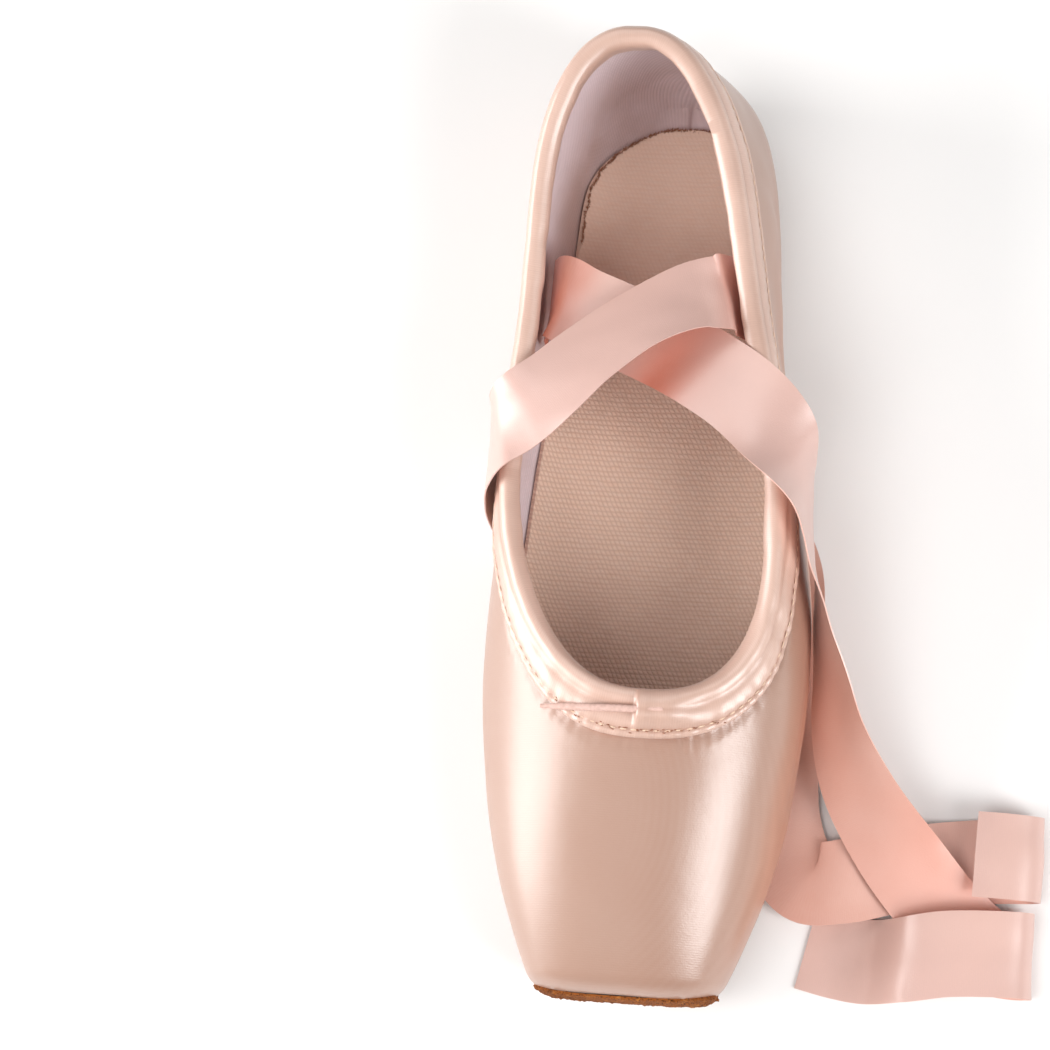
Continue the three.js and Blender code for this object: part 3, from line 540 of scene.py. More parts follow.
def satin(name, face, deep, thread, roughness=0.36, painted_glow=0.0, fold="A4694C", painted_light_share=0.6, moire=0.0):
    """Polyester satin, five-end weave: long floats lie across the cloth, so it has a soft stretched
    highlight, a faint line of threads and a slow drift of tone. UV is in centimetres on the cloth. The glow
    share paints the right side orange low down, a painted glow of the warm light that the ribbons throw on
    it;
    `fold` is the colour of the painted shade in its seams and of the painted orange glow on the ribbons, and
    `moire` the strength of its rings."""
    drift_size, hollow_size, stipple_size, ring_spacing = 38.46, 11.11, 0.4348, 1.904
    float_length, float_width = 2.0, 1 / 6
    material, tree = new_material(name)
    uv = node(tree, "UVMap", uv_map="cloth")
    place = node(tree, "TexCoord", output="Object")
    x, y, z = node(tree, "SeparateXYZ", (place,)).node.outputs
    drift = node(tree, "TexNoise", {"Vector": place, "Scale": per_metre(drift_size), "Detail": 3.0})
    # Painted glow: the right side low down turns orange, for the warm light that the ribbons throw on it
    low = node(tree, "MapRange", (z, 0.046, 0.016, 0.0, painted_glow), **SMOOTH)
    right = node(tree, "MapRange", (x, 0.020, 0.038), **SMOOTH)
    # Painted shade along seams, and a painted orange glow on the ribbons, read from the mesh
    crease = node(tree, "Attribute", output="Fac", attribute_name="crease")
    threads = node(tree, "TexWave", {
        "Vector": uv, "Scale": 2 * math.pi / (20 * thread * 100), "Distortion": 1.2, "Detail": 1.0,
        "Detail Scale": 0.6}, "Fac", bands_direction="Y")
    floats = node(tree, "Mapping", {"Vector": uv, "Scale": (10 / float_length, 10 / float_width, 1.0)})
    floats = node(tree, "TexNoise", {"Vector": floats, "Scale": 1.0, "Detail": 2.0})
    # Watered rings where two layers of thread beat against each other, on the right of the box
    rings = node(tree, "Mapping", {"Vector": place, "Location": (0.028, 0.072, 0.0)})
    rings = node(tree, "TexWave", {
        "Vector": rings, "Scale": 2 * math.pi / (20 * ring_spacing / 1000), "Distortion": 0.5}, "Fac",
        wave_type="RINGS", rings_direction="Z")
    beat = node(tree, "MapRange", (x, -0.004, 0.012, 0.0, moire), **SMOOTH)
    beat = node(tree, "Math", (rings, beat), operation="MULTIPLY")
    box = node(tree, "MapRange", (y, -0.045, -0.060), **SMOOTH)
    tone = coats(
        tree, face,
        (node(tree, "MapRange", (drift, 0.35, 0.75, 0.0, 0.35), **SMOOTH), deep),
        # painted glow of light from the ribbons, on the right side low down
        (node(tree, "Math", (low, right), operation="MULTIPLY"), hex_colour("DE8A58")),
        # painted shade along seams, and on ribbons a painted orange glow, in the fold colour
        (node(tree, "Math", (crease, painted_light_share), operation="MULTIPLY"), hex_colour(fold)),
        (node(tree, "MapRange", (threads, 0.0, 1.0, 0.0, 0.10), **SMOOTH), deep),
        (node(tree, "MapRange", (floats, 0.3, 0.8, 0.0, 0.16), **SMOOTH), deep),
        (node(tree, "Math", (beat, box), operation="MULTIPLY"), deep))
    height = node(tree, "Math", (node(tree, "Math", (threads, 0.5), operation="MULTIPLY"),
                                 node(tree, "Math", (floats, 0.6), operation="MULTIPLY")), operation="ADD")
    normal = node(tree, "Bump", {"Height": height, "Strength": 0.07, "Distance": 0.0002})
    stipple = node(tree, "TexNoise", {"Vector": place, "Scale": per_metre(stipple_size), "Detail": 1.0})
    normal = node(tree, "Bump", {"Height": stipple, "Strength": 0.16, "Distance": 0.00015, "Normal": normal})
    hollows = node(tree, "TexNoise", {"Vector": place, "Scale": per_metre(hollow_size), "Detail": 2.0})
    normal = node(tree, "Bump", {"Height": hollows, "Strength": 0.12, "Distance": 0.0012, "Normal": normal})
    shader = node(tree, "BsdfPrincipled", {
        "Base Color": tone, "Normal": normal, "Roughness": roughness, "Sheen Weight": 0.12,
        "Sheen Roughness": 0.45, "Specular IOR Level": 1.0, "IOR": 1.6})
    node(tree, "OutputMaterial", (shader,))
    return material


def lining_cotton():
    """Cotton drill, woven and glued: matt, faint diagonal ribs, browned where the heel rubs it."""
    rib_spacing, stain_size = 0.966, 29.41
    _, colours = settings()
    material, tree = new_material("lining_cotton_drill")
    uv = node(tree, "UVMap", uv_map="cloth")
    place = node(tree, "TexCoord", output="Object")
    z = node(tree, "SeparateXYZ", (place,), "Z")
    ribs = node(tree, "TexWave", {
        "Vector": uv, "Scale": 2 * math.pi / (math.sqrt(2) * rib_spacing), "Distortion": 0.8}, "Fac",
        bands_direction="DIAGONAL")
    stain = node(tree, "TexNoise", {"Vector": place, "Scale": per_metre(stain_size), "Detail": 5.0})
    low = node(tree, "MapRange", (z, 0.046, 0.016), **SMOOTH)
    patchy = node(tree, "MapRange", (stain, 0.25, 0.75), **SMOOTH)
    crease = node(tree, "Attribute", output="Fac", attribute_name="crease")
    tone = coats(
        tree, colours.lining,
        (node(tree, "Math", (low, patchy), operation="MULTIPLY"), hex_colour("C0A49C")),
        (node(tree, "MapRange", (ribs, 0.2, 0.8, 0.0, 0.18), **SMOOTH), hex_colour("B9A3A6")),
        # painted shade in the fold of the heel seam
        (node(tree, "Math", (crease, 0.6), operation="MULTIPLY"), hex_colour("8C6A68")))
    height = node(tree, "Math", (ribs, stain), operation="ADD")
    normal = node(tree, "Bump", {"Height": height, "Strength": 0.25, "Distance": 0.0003})
    shader = node(tree, "BsdfPrincipled", {
        "Base Color": tone, "Normal": normal, "Roughness": 0.85, "Sheen Weight": 0.15,
        "Specular IOR Level": 0.3})
    node(tree, "OutputMaterial", (shader,))
    return material


def insole_canvas():
    """Unbleached cotton canvas, basket woven: raised cells with dark gaps, smoother and ribbed under the
    heel. UV is in centimetres along and across the insole."""
    wobble_size, stain_size, slub_length, slub_width = 3.333, 45.45, 3.333, 0.7143
    sizes, colours = settings()
    material, tree = new_material("insole_cotton_canvas")
    uv = node(tree, "UVMap", uv_map="cloth")
    place = node(tree, "TexCoord", output="Object")
    wobble = node(tree, "TexNoise", {"Vector": uv, "Scale": 10 / wobble_size, "Detail": 3.0}, "Color")
    uv = node(tree, "Mix", {0: 0.06, 4: uv, 5: wobble}, 1, data_type="VECTOR")
    across, along, _ = node(tree, "SeparateXYZ", (uv,)).node.outputs
    turn = math.pi / (sizes.basket * 100)
    row = node(tree, "Math", (along, turn), operation="MULTIPLY")
    # Each row of cells starts half a cell further on
    column = node(tree, "Math", (node(tree, "Math", (across, turn), operation="MULTIPLY"),
                                 node(tree, "Math", (row, 0.5), operation="MULTIPLY")), operation="ADD")
    waves = [node(tree, "Math", (angle,), operation="SINE") for angle in (column, row)]
    weave = node(tree, "Math", (node(tree, "Math", waves, operation="MULTIPLY"),), operation="ABSOLUTE")
    cells = node(tree, "Math", (weave, 0.6), operation="POWER")
    slub = node(tree, "Mapping", {"Vector": uv, "Scale": (10 / slub_length, 10 / slub_width, 1.0)})
    slub = node(tree, "TexNoise", {"Vector": slub, "Scale": 1.0, "Detail": 4.0})
    stain = node(tree, "TexNoise", {"Vector": place, "Scale": per_metre(stain_size), "Detail": 4.0})
    y = node(tree, "SeparateXYZ", (place,), "Y")
    heel = node(tree, "MapRange", (y, 0.030, 0.055), **SMOOTH)
    depth = node(tree, "MapRange", (heel, 0, 1, 0.38, 0.12), **SMOOTH)
    gap = node(tree, "Math", (1.0, cells), operation="SUBTRACT")
    gap = node(tree, "Math", (gap, depth), operation="MULTIPLY")
    tone = coats(
        tree, colours.canvas,
        (node(tree, "MapRange", (stain, 0.35, 0.7, 0.0, 0.5), **SMOOTH), hex_colour("CFB09F")),
        (node(tree, "MapRange", (slub, 0.3, 0.75, 0.0, 0.35), **SMOOTH), hex_colour("EBD8CC")),
        (gap, hex_colour("B08064")))
    flat = node(tree, "MapRange", (heel, 0, 1, 1.0, 0.25), **SMOOTH)
    height = node(tree, "Math", (node(tree, "Math", (cells, flat), operation="MULTIPLY"),
                                 node(tree, "Math", (slub, 0.3), operation="MULTIPLY")), operation="ADD")
    normal = node(tree, "Bump", {"Height": height, "Strength": 0.7, "Distance": 0.0004})
    shader = node(tree, "BsdfPrincipled", {
        "Base Color": tone, "Normal": normal, "Roughness": 0.9, "Sheen Weight": 0.1,
        "Specular IOR Level": 0.25})
    node(tree, "OutputMaterial", (shader,))
    return material


def toe_suede():
    """Split suede, brushed: no gloss, a short nap that catches the light, dark pits and pale fibre ends."""
    grain_size, tuft_size, patch_size = 0.5263, 2.083, 14.29
    _, colours = settings()
    material, tree = new_material("toe_suede_nap")
    place = node(tree, "TexCoord", output="Object")
    grain = node(tree, "TexNoise", {
        "Vector": place, "Scale": per_metre(grain_size), "Detail": 4.0, "Roughness": 0.7})
    tufts = node(tree, "TexNoise", {"Vector": place, "Scale": per_metre(tuft_size), "Detail": 3.0})
    patch = node(tree, "TexNoise", {"Vector": place, "Scale": per_metre(patch_size), "Detail": 2.0})
    tone = coats(
        tree, colours.suede,
        (node(tree, "MapRange", (patch, 0.35, 0.65, 0.0, 0.6), **SMOOTH), hex_colour("7C4219")),
        (node(tree, "MapRange", (tufts, 0.52, 0.70), **SMOOTH), hex_colour("B87438")),
        (node(tree, "MapRange", (grain, 0.50, 0.36), **SMOOTH), hex_colour("32170A")))
    height = node(tree, "Math", (grain, tufts), operation="ADD")
    normal = node(tree, "Bump", {"Height": height, "Strength": 0.9, "Distance": 0.0006})
    shader = node(tree, "BsdfPrincipled", {
        "Base Color": tone, "Normal": normal, "Roughness": 1.0, "Sheen Weight": 0.06,
        "Sheen Roughness": 0.6, "Specular IOR Level": 0.05})
    node(tree, "OutputMaterial", (shader,))
    return material


def sole_leather():
    """Vegetable-tanned sole leather, pressed and buffed: fine pores, a darker burnished edge, dull wear."""
    pore_size, mottle_size = 0.7143, 16.67
    _, colours = settings()
    material, tree = new_material("sole_leather_buffed")
    place = node(tree, "TexCoord", output="Object")
    pores = node(tree, "TexVoronoi", {"Vector": place, "Scale": per_metre(pore_size)}, "Distance")
    mottle = node(tree, "TexNoise", {"Vector": place, "Scale": per_metre(mottle_size), "Detail": 6.0})
    z = node(tree, "SeparateXYZ", (place,), "Z")
    off_floor = node(tree, "MapRange", (z, 0.0002, 0.0012), **SMOOTH)
    tone = coats(
        tree, colours.leather,
        (node(tree, "MapRange", (mottle, 0.3, 0.7), **SMOOTH), hex_colour("7C553B")),
        (node(tree, "MapRange", (off_floor, 0, 1, 0.45, 0.0), **SMOOTH), hex_colour("9C7654")))
    height = node(tree, "Math", (pores, mottle), operation="ADD")
    normal = node(tree, "Bump", {"Height": height, "Strength": 0.3, "Distance": 0.0002})
    shader = node(tree, "BsdfPrincipled", {
        "Base Color": tone, "Normal": normal, "Roughness": 0.62, "Specular IOR Level": 0.4})
    node(tree, "OutputMaterial", (shader,))
    return material


def spun_thread(name, code, roughness):
    """Spun thread or braid: matt, one tone, a fine irregular twist that darkens it in specks."""
    twist_size = 0.8333
    material, tree = new_material(name)
    place = node(tree, "TexCoord", output="Object")
    twist = node(tree, "TexNoise", {"Vector": place, "Scale": per_metre(twist_size), "Detail": 2.0})
    specks = node(tree, "MapRange", (twist, 0.3, 0.7, 0.0, 0.35), **SMOOTH)
    tone = coats(tree, hex_colour(code), (specks, hex_colour("A98876")))
    normal = node(tree, "Bump", {"Height": twist, "Strength": 0.2, "Distance": 0.0002})
    shader = node(tree, "BsdfPrincipled", {
        "Base Color": tone, "Normal": normal, "Roughness": roughness})
    node(tree, "OutputMaterial", (shader,))
    return material


# Pieces

BEND_WEIGHT = 7.0


def shell_grid(count, rings):
    """The last between the collar and the lasted edge, resampled so that bends get more rings.
    Returns points, normals, and the true distance run from the collar and to the lasted edge."""
    lines = upper_lines(count)
    normals = grid_normals(lines)
    weighted, true = runs(lines, BEND_WEIGHT), runs(lines)
    stops = weighted[:, -1:] * np.linspace(0, 1, rings + 1)[None]
    points = at_run(lines, weighted, stops)
    normal = unit(at_run(normals, weighted, stops))
    gone = at_run(true[..., None], weighted, stops)[..., 0]
    return points, normal, gone, gone[:, -1:] - gone


def loop_length(points):
    """Distance round a closed loop of points, from its first."""
    step = np.linalg.norm(np.roll(points, -1, 0) - points, axis=1)
    return np.r_[0, np.cumsum(step)[:-1]], step.sum()


def cloth_uv(p, gone):
    """Cloth coordinates in centimetres: round the shoe across, and along it."""
    return np.stack([p[..., 0] / 10 + gone / 14, p[..., 1] / 10], -1)


# Side seams: where they start on the collar, and how they slant
SEAM_START, SEAM_SLANT = 153.0, -0.47
HEEL_SEAM = 205

# Soft creases of the quarters and the box: side, station and run from the collar at both ends, depth, width
CREASES = np.array([
    (1, 176, 14, 148, 26, -0.55, 4.0), (1, 186, 20, 160, 34, 0.45, 5.0), (1, 142, 14, 118, 24, -0.40, 4.5),
    (-1, 170, 12, 140, 28, -0.50, 4.5), (-1, 150, 16, 124, 34, 0.40, 5.0), (-1, 200, 16, 178, 30, -0.40, 4.0),
    (1, 206, 12, 196, 36, -0.35, 4.0), (1, 112, 16, 92, 30, -0.22, 5.0), (-1, 112, 14, 90, 26, -0.22, 5.0),
])


def seam_distance(x, s, gone):
    """Signed distance from the slanting side seams, or from the seam up the back of the heel."""
    side = (s - SEAM_START - SEAM_SLANT * (gone - 8)) / math.hypot(1, SEAM_SLANT)
    return np.where(s > HEEL_SEAM, x, side)


def crease_depth(x, s, gone):
    """Sum of the listed creases: each a rounded trough or ridge beside a line from one end to the
    other, deepest in the middle and gone at both ends."""
    total = np.zeros(np.broadcast(x, s, gone).shape)
    for side, s0, r0, s1, r1, depth, width in CREASES:
        along = np.array([s1 - s0, r1 - r0])
        length = np.hypot(*along)
        t = ((s - s0) * along[0] + (gone - r0) * along[1]) / length ** 2
        away = ((s - s0) * along[1] - (gone - r0) * along[0]) / length
        total += depth * bump(away, 0, width) * bump(t, 0.5, 0.38) * ease(x * side, -2, 6)
    return total


PLEAT_SPACING, GATHER_SPACING = 4.4, 2.7
PINCH = np.array([(-15.3, 64.8), (0.3, 60.7)])
LADDER = np.linspace(10.5, 46, 23)


def satin_relief(p, gone, left, sizes):
    """How far the satin stands off the last, as the sum of its pleats, gathers, seams, creases and slow
    unevenness, and how much painted shade darkens the grooves of its seams."""
    x, s, z = p[..., 0], p[..., 1], p[..., 2]
    around = loop_length(p[:, 0])[0][:, None]
    edge = loop_length(p[:, -1])[0][:, None]
    # Pleats gather the satin under the box, from the lasted edge out to where they fade
    under = ease(left, 4.2, 7.5) * (1 - ease(left, 11, 22)) * (1 - ease(s, 78, 112)) * (1 - ease(z, 7, 16))
    pleat = np.abs(np.sin(np.pi * edge / PLEAT_SPACING + 0.35 * unevenness(p, 30, 3))) - 0.75
    off = sizes.pleat * 1000 * under * pleat
    # Uneven gathers beside the binding's seam, deepest round the throat
    throat = 0.25 + 0.75 * (1 - ease(s, 84, 112))
    ripple = np.sin(2 * np.pi * around / GATHER_SPACING + 2.4 * unevenness(p, 11, 5))
    ripple = ripple * (0.5 + 0.5 * unevenness(p, 7, 7)) + 0.5 * unevenness(p, 3.4, 6)
    off = off + 0.42 * sizes.pucker * 1000 * throat * ripple * bump(gone, 10.6, 1.9)
    # The satin dips where the seam pulls it in
    off = off - 0.42 * bump(gone, 10.0, 1.3)
    # A pinch of satin below the binding's stitches
    start, reach = PINCH[0], PINCH[1] - PINCH[0]
    t = np.clip(((x - start[0]) * reach[0] + (s - start[1]) * reach[1]) / (reach @ reach), 0, 1)
    away = np.hypot(x - start[0] - reach[0] * t, s - start[1] - reach[1] * t)
    off = off + 0.55 * bump(away, 0, 0.75) * (z > 30)
    # Side seams at the waist and the seam up the back of the heel
    seam = np.abs(seam_distance(x, s, gone))
    off = off - 0.34 * bump(seam, 0, 0.7) + 0.16 * bump(seam, 2.2, 1.4) + crease_depth(x, s, gone)
    # Painted shade: darker in the groove under the binding's seam, most at the throat, and along the side and
    # heel seams
    dark = np.maximum(bump(gone, 9.7, 0.7) * (0.45 + 0.55 * throat), 0.8 * bump(seam, 0, 0.45))
    # Slack in the quarters and slow hollows of hand lasting over the box
    slack = ease(s, 105, 150)
    off = off + 0.34 * slack * unevenness(p * np.array([1, 0.7, 1.6]), 30, 11) * ease(left, 4, 14)
    off = off + 0.16 * (1 - slack) * unevenness(p, 34, 12) * ease(left, 4, 14) * ease(gone, 8, 20)
    return off, dark


def side_seams(p, outer, gone):
    """A ladder of thread across each side seam, one stitch at each distance down from the collar."""
    x, s = p[..., 0], p[..., 1]
    places = set()
    for side in (1, -1):
        for run in LADDER:
            cost = np.abs(gone - run) + 2 * np.abs(seam_distance(x, s, gone))
            places.add(int(np.argmin(np.where((x * side > 0) & (s <= 200), cost, 1e9))))
    i, j = np.unravel_index(sorted(places), s.shape)
    n = grid_normals(outer)[i, j]
    side = np.sign(x[i, j])[:, None]
    round_shoe = unit(outer[(i + 1) % len(outer), j] - outer[i - 1, j])
    along = round_shoe + 0.25 * side * unit(p[i, j] - p[i, j - 1])
    stitches("side_seam_stitches", outer[i, j] + 0.16 * n, along, n, 4.2, 0.38,
             spun_thread("seam_thread_silk", "F0D9CB", 0.45), height=0.8)


class SHOE_OT_upper(bpy.types.Operator):
    """Builds the satin shell with its pleats, seams and soft folds, and the lining inside it"""
    bl_idname = "shoe.upper"
    bl_label = "Upper and lining"

    def execute(self, context):
        sizes, colours = settings()
        count, rings = UPPER_GRID
        p, n, gone, left = shell_grid(count, rings)
        off, dark = satin_relief(p, gone, left, sizes)
        outer = placed(p + n * off[..., None])
        inner = placed(p - n * (wall_at(p[..., 1]) * 0.45)[..., None])
        uv = cloth_uv(p, gone)
        # The upper's satin gets a painted orange glow low on its right side, for light thrown by the ribbons
        skin = satin("shoe_satin_polyester", colours.satin, colours.satin_deep, sizes.weave, painted_glow=0.42,
                     moire=0.22)
        piece = add_piece("upper_satin", np.concatenate([outer, inner]), wall_faces(count, rings + 1, True),
                          [skin], np.concatenate([uv, uv]),
                          {"crease": np.concatenate([dark, dark * 0])})
        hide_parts("upper")
        side_seams(p, outer, gone)

        count, rings = LINING_GRID
        p, n, gone, left = shell_grid(count, rings)
        s = p[..., 1]
        wall = wall_at(s)
        wrinkle = 0.22 * unevenness(p * np.array([1, 1, 0.5]), 16, 21) * ease(gone, 6, 16) * ease(left, 3, 12)
        heel_seam = np.where(s > HEEL_SEAM, np.abs(p[..., 0]), 99)
        # Painted shade along the fold of the seam up the back of the heel
        dark = bump(heel_seam, 0, 0.5)
        fold = -0.30 * bump(heel_seam, 0, 0.9) * ease(gone, 6, 9)
        # Under the insole's heel the lining reaches further in, so that no leather shows behind the insole
        reach = np.stack([0 * s, 5.0 * (1 - ease(left, 0, 2.5)) * ease(s, 214, 222), 0 * s], -1)
        outer = placed(p - n * (wall * 0.5)[..., None]) - reach
        inner = placed(p - n * (wall + wrinkle + fold)[..., None]) - reach
        uv = cloth_uv(p, gone)
        add_piece("upper_lining", np.concatenate([outer, inner]), wall_faces(count, rings + 1, True),
                  [lining_cotton()], np.concatenate([uv, uv]),
                  {"crease": np.concatenate([dark, dark])})
        return {"FINISHED"}


# Section of the binding: distance below the collar's edge, distance off the wall, and 1 on the inside
CROWN = -BINDING_GAP - BINDING_THICK - BEAD * 0.5
BINDING_SECTION = np.array([
    (9.5, 0.42, 0), (9.6, 0.75, 0), (9.45, 1.1, 0), (8.9, 1.38, 0), (8.2, 1.40, 0), (7.7, 1.12, 0),
    (7.2, 1.38, 0), (6.0, 1.58, 0), (4.6, 1.60, 0), (3.4, 1.50, 0), (2.5, 1.16, 0), (1.7, 1.50, 0),
    (0.4, 1.92, 0), (-0.7, 1.70, 0), (-1.5, 1.2, 0), (CROWN, 0.5, 0), (CROWN, 0.5, 1), (-1.5, 1.15, 1),
    (-0.6, 1.5, 1), (0.8, 1.62, 1), (2.6, 1.5, 1), (4.6, 1.46, 1), (6.2, 1.42, 1), (6.9, 1.2, 1),
    (7.0, 0.8, 1), (6.9, 0.45, 1), (5.2, 0.42, 1), (2.6, 0.42, 1), (-0.42, 0.42, 1), (-0.42, 0.42, 0),
    (3.0, 0.42, 0), (6.4, 0.42, 0),
])
CROWN_POINT = 15
BINDING_SEAM, CASING_SEAM = 7.7, 2.5
BINDING_GATHER = 3.1
NEEDLE_MARKS = 3


def binding_rings(count, below, off, inside):
    """Points beside the collar: down each line of the last by `below`, off its wall by `off`, or beyond the
    edge where below is negative. Arrays of the section's length, or one row per line."""
    lines = upper_lines(count)
    normals = grid_normals(lines)
    run = runs(lines)
    below, off, inside = np.broadcast_arrays(below, off, inside)
    below, off, inside = (np.broadcast_to(v, (count, v.shape[-1])) for v in (below, off, inside))
    at = np.maximum(below, 0)
    p = at_run(lines, run, at)
    n = unit(at_run(normals, run, at))
    up = unit(lines[:, :1] - at_run(lines, run, np.full((count, 1), 1.5)))
    distance = np.where(inside > 0, -wall_at(p[..., 1]) - off, off)
    return placed(p + n * distance[..., None] + up * (at - below)[..., None]), p


def lap_share(base):
    """One end of the binding laps over the other at the throat: 1 just past its cut end, fading away."""
    x, s = base[..., 0], base[..., 1]
    return ease(x, LAP - 0.45, LAP + 0.3) * (1 - ease(x, LAP + 7, LAP + 30)) * (1 - ease(s, 84, 96))


def lap_height(below, base):
    """Height of that lap, with a channel over the drawstring, which comes out from under the cut end."""
    channel = 2.1 * bump(below, 3.2, 2.9) * (1 - ease(base[..., 0], LAP + 6, LAP + 16))
    return (0.55 + channel) * (1 - ease(below, 5.6, 8.0))


class SHOE_OT_binding(bpy.types.Operator):
    """Builds the folded satin binding round the collar, with its seam and gathers"""
    bl_idname = "shoe.binding"
    bl_label = "Collar binding"

    def execute(self, context):
        sizes, colours = settings()
        count = BINDING_LINES
        below, off, inside = BINDING_SECTION.T
        _, base = binding_rings(count, below, off, inside)
        around, length = loop_length(base[:, CROWN_POINT])
        around = around[:, None]
        throat = 0.30 + 0.70 * (1 - ease(base[..., 1], 84, 122))
        ripple = np.sin(2 * np.pi * around / BINDING_GATHER + 1.3 * unevenness(base, 18, 5))
        folds = unevenness(around[..., None] * np.array([1, 0, 0]) + base * 0.05, 8, 31)
        outside = (off > 0.9) * (inside < 1)
        gathers = 0.42 * sizes.pucker * 1000 * ripple * bump(below, 8.6, 2.0)
        off = off + outside * throat * (gathers + 0.20 * folds * bump(below, 5.0, 3.2) + 0.10 * folds)
        off = off + (off > 0.9) * inside * 0.16 * folds
        lap = lap_share(base)
        off = off + outside * lap * lap_height(below, base) * (below > -2)
        # Painted shade: darker in the grooves of the binding's seam and its casing seam, and under the cut
        # end where one end laps over the other
        seams = 0.7 * bump(below, BINDING_SEAM, 0.5) + 0.35 * bump(below, CASING_SEAM, 0.45)
        cut_end = lap * bump(base[..., 0], LAP - 0.1, 0.5) * (below < 6) * outside * 0.8
        dark = np.maximum(seams * (inside < 1), cut_end)
        rings, _ = binding_rings(count, below, off, inside)
        columns = rings.shape[1]
        faces = squares(count, columns + 1, True)
        faces = np.where(faces % (columns + 1) == columns, faces - columns, faces)
        over = np.cumsum(np.r_[0, np.hypot(np.diff(below), 0.2)]) / 10
        uv = np.stack(np.broadcast_arrays(over, around / 10), -1)
        closed, uv, dark = (np.concatenate([v, v[:, :1]], 1) for v in (rings, uv, dark))
        skin = satin("binding_satin_polyester", colours.binding, colours.satin_deep, sizes.weave,
                     roughness=0.38)
        piece = add_piece("binding_satin", closed, faces, [skin], uv, {"crease": dark})
        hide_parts("collar_binding")
        self.sew(int(length / (sizes.stitch * 1000)))
        return {"FINISHED"}

    def sew(self, stitch_count):
        """A row of stitches along the binding's seam, and stray needle marks round them at the throat."""
        at = np.array([BINDING_SEAM])
        _, line = binding_rings(BINDING_LINES, at, at * 0, at * 0)
        rise = lap_share(line) * lap_height(at, line)
        seat, raised = (binding_rings(BINDING_LINES, at, off + rise, at * 0)[0][:, 0] for off in (1.26, 2.26))
        run, length = loop_length(seat)
        where = np.arange(stitch_count) * length / stitch_count
        centre, above = (np.stack([np.interp(where, run, v[:, k], period=length) for k in range(3)], -1)
                         for v in (seat, raised))
        out = above - centre
        direction = np.roll(centre, -1, 0) - np.roll(centre, 1, 0)
        stitches("binding_stitches", centre, direction, out, 1.7, 0.42,
                 spun_thread("stitching_thread_spun", "EBCDB4", 0.6))
        rng = np.random.default_rng(83)
        near = np.repeat(np.flatnonzero((centre[:, 1] < -46) & (np.abs(centre[:, 0]) < 24)), NEEDLE_MARKS)
        turned = direction[near] + rng.normal(size=(len(near), 3)) * 1.6
        spot = centre[near] + rng.normal(size=(len(near), 3)) * (0.9, 0.45, 0) + out[near] * 0.10
        stitches("throat_needle_marks", spot, turned, out[near], 0.8, 0.30,
                 spun_thread("basting_thread_brown", "94614A", 0.8))


# The insole's ends, the round of its heel end, and where its frayed rim starts
SOCK, SOCK_HEEL, SOCK_ROUND = (14.0, 224.0), 22.0, 2.7
FRAYED_ROW, FRAYED_THREADS = 178, 900


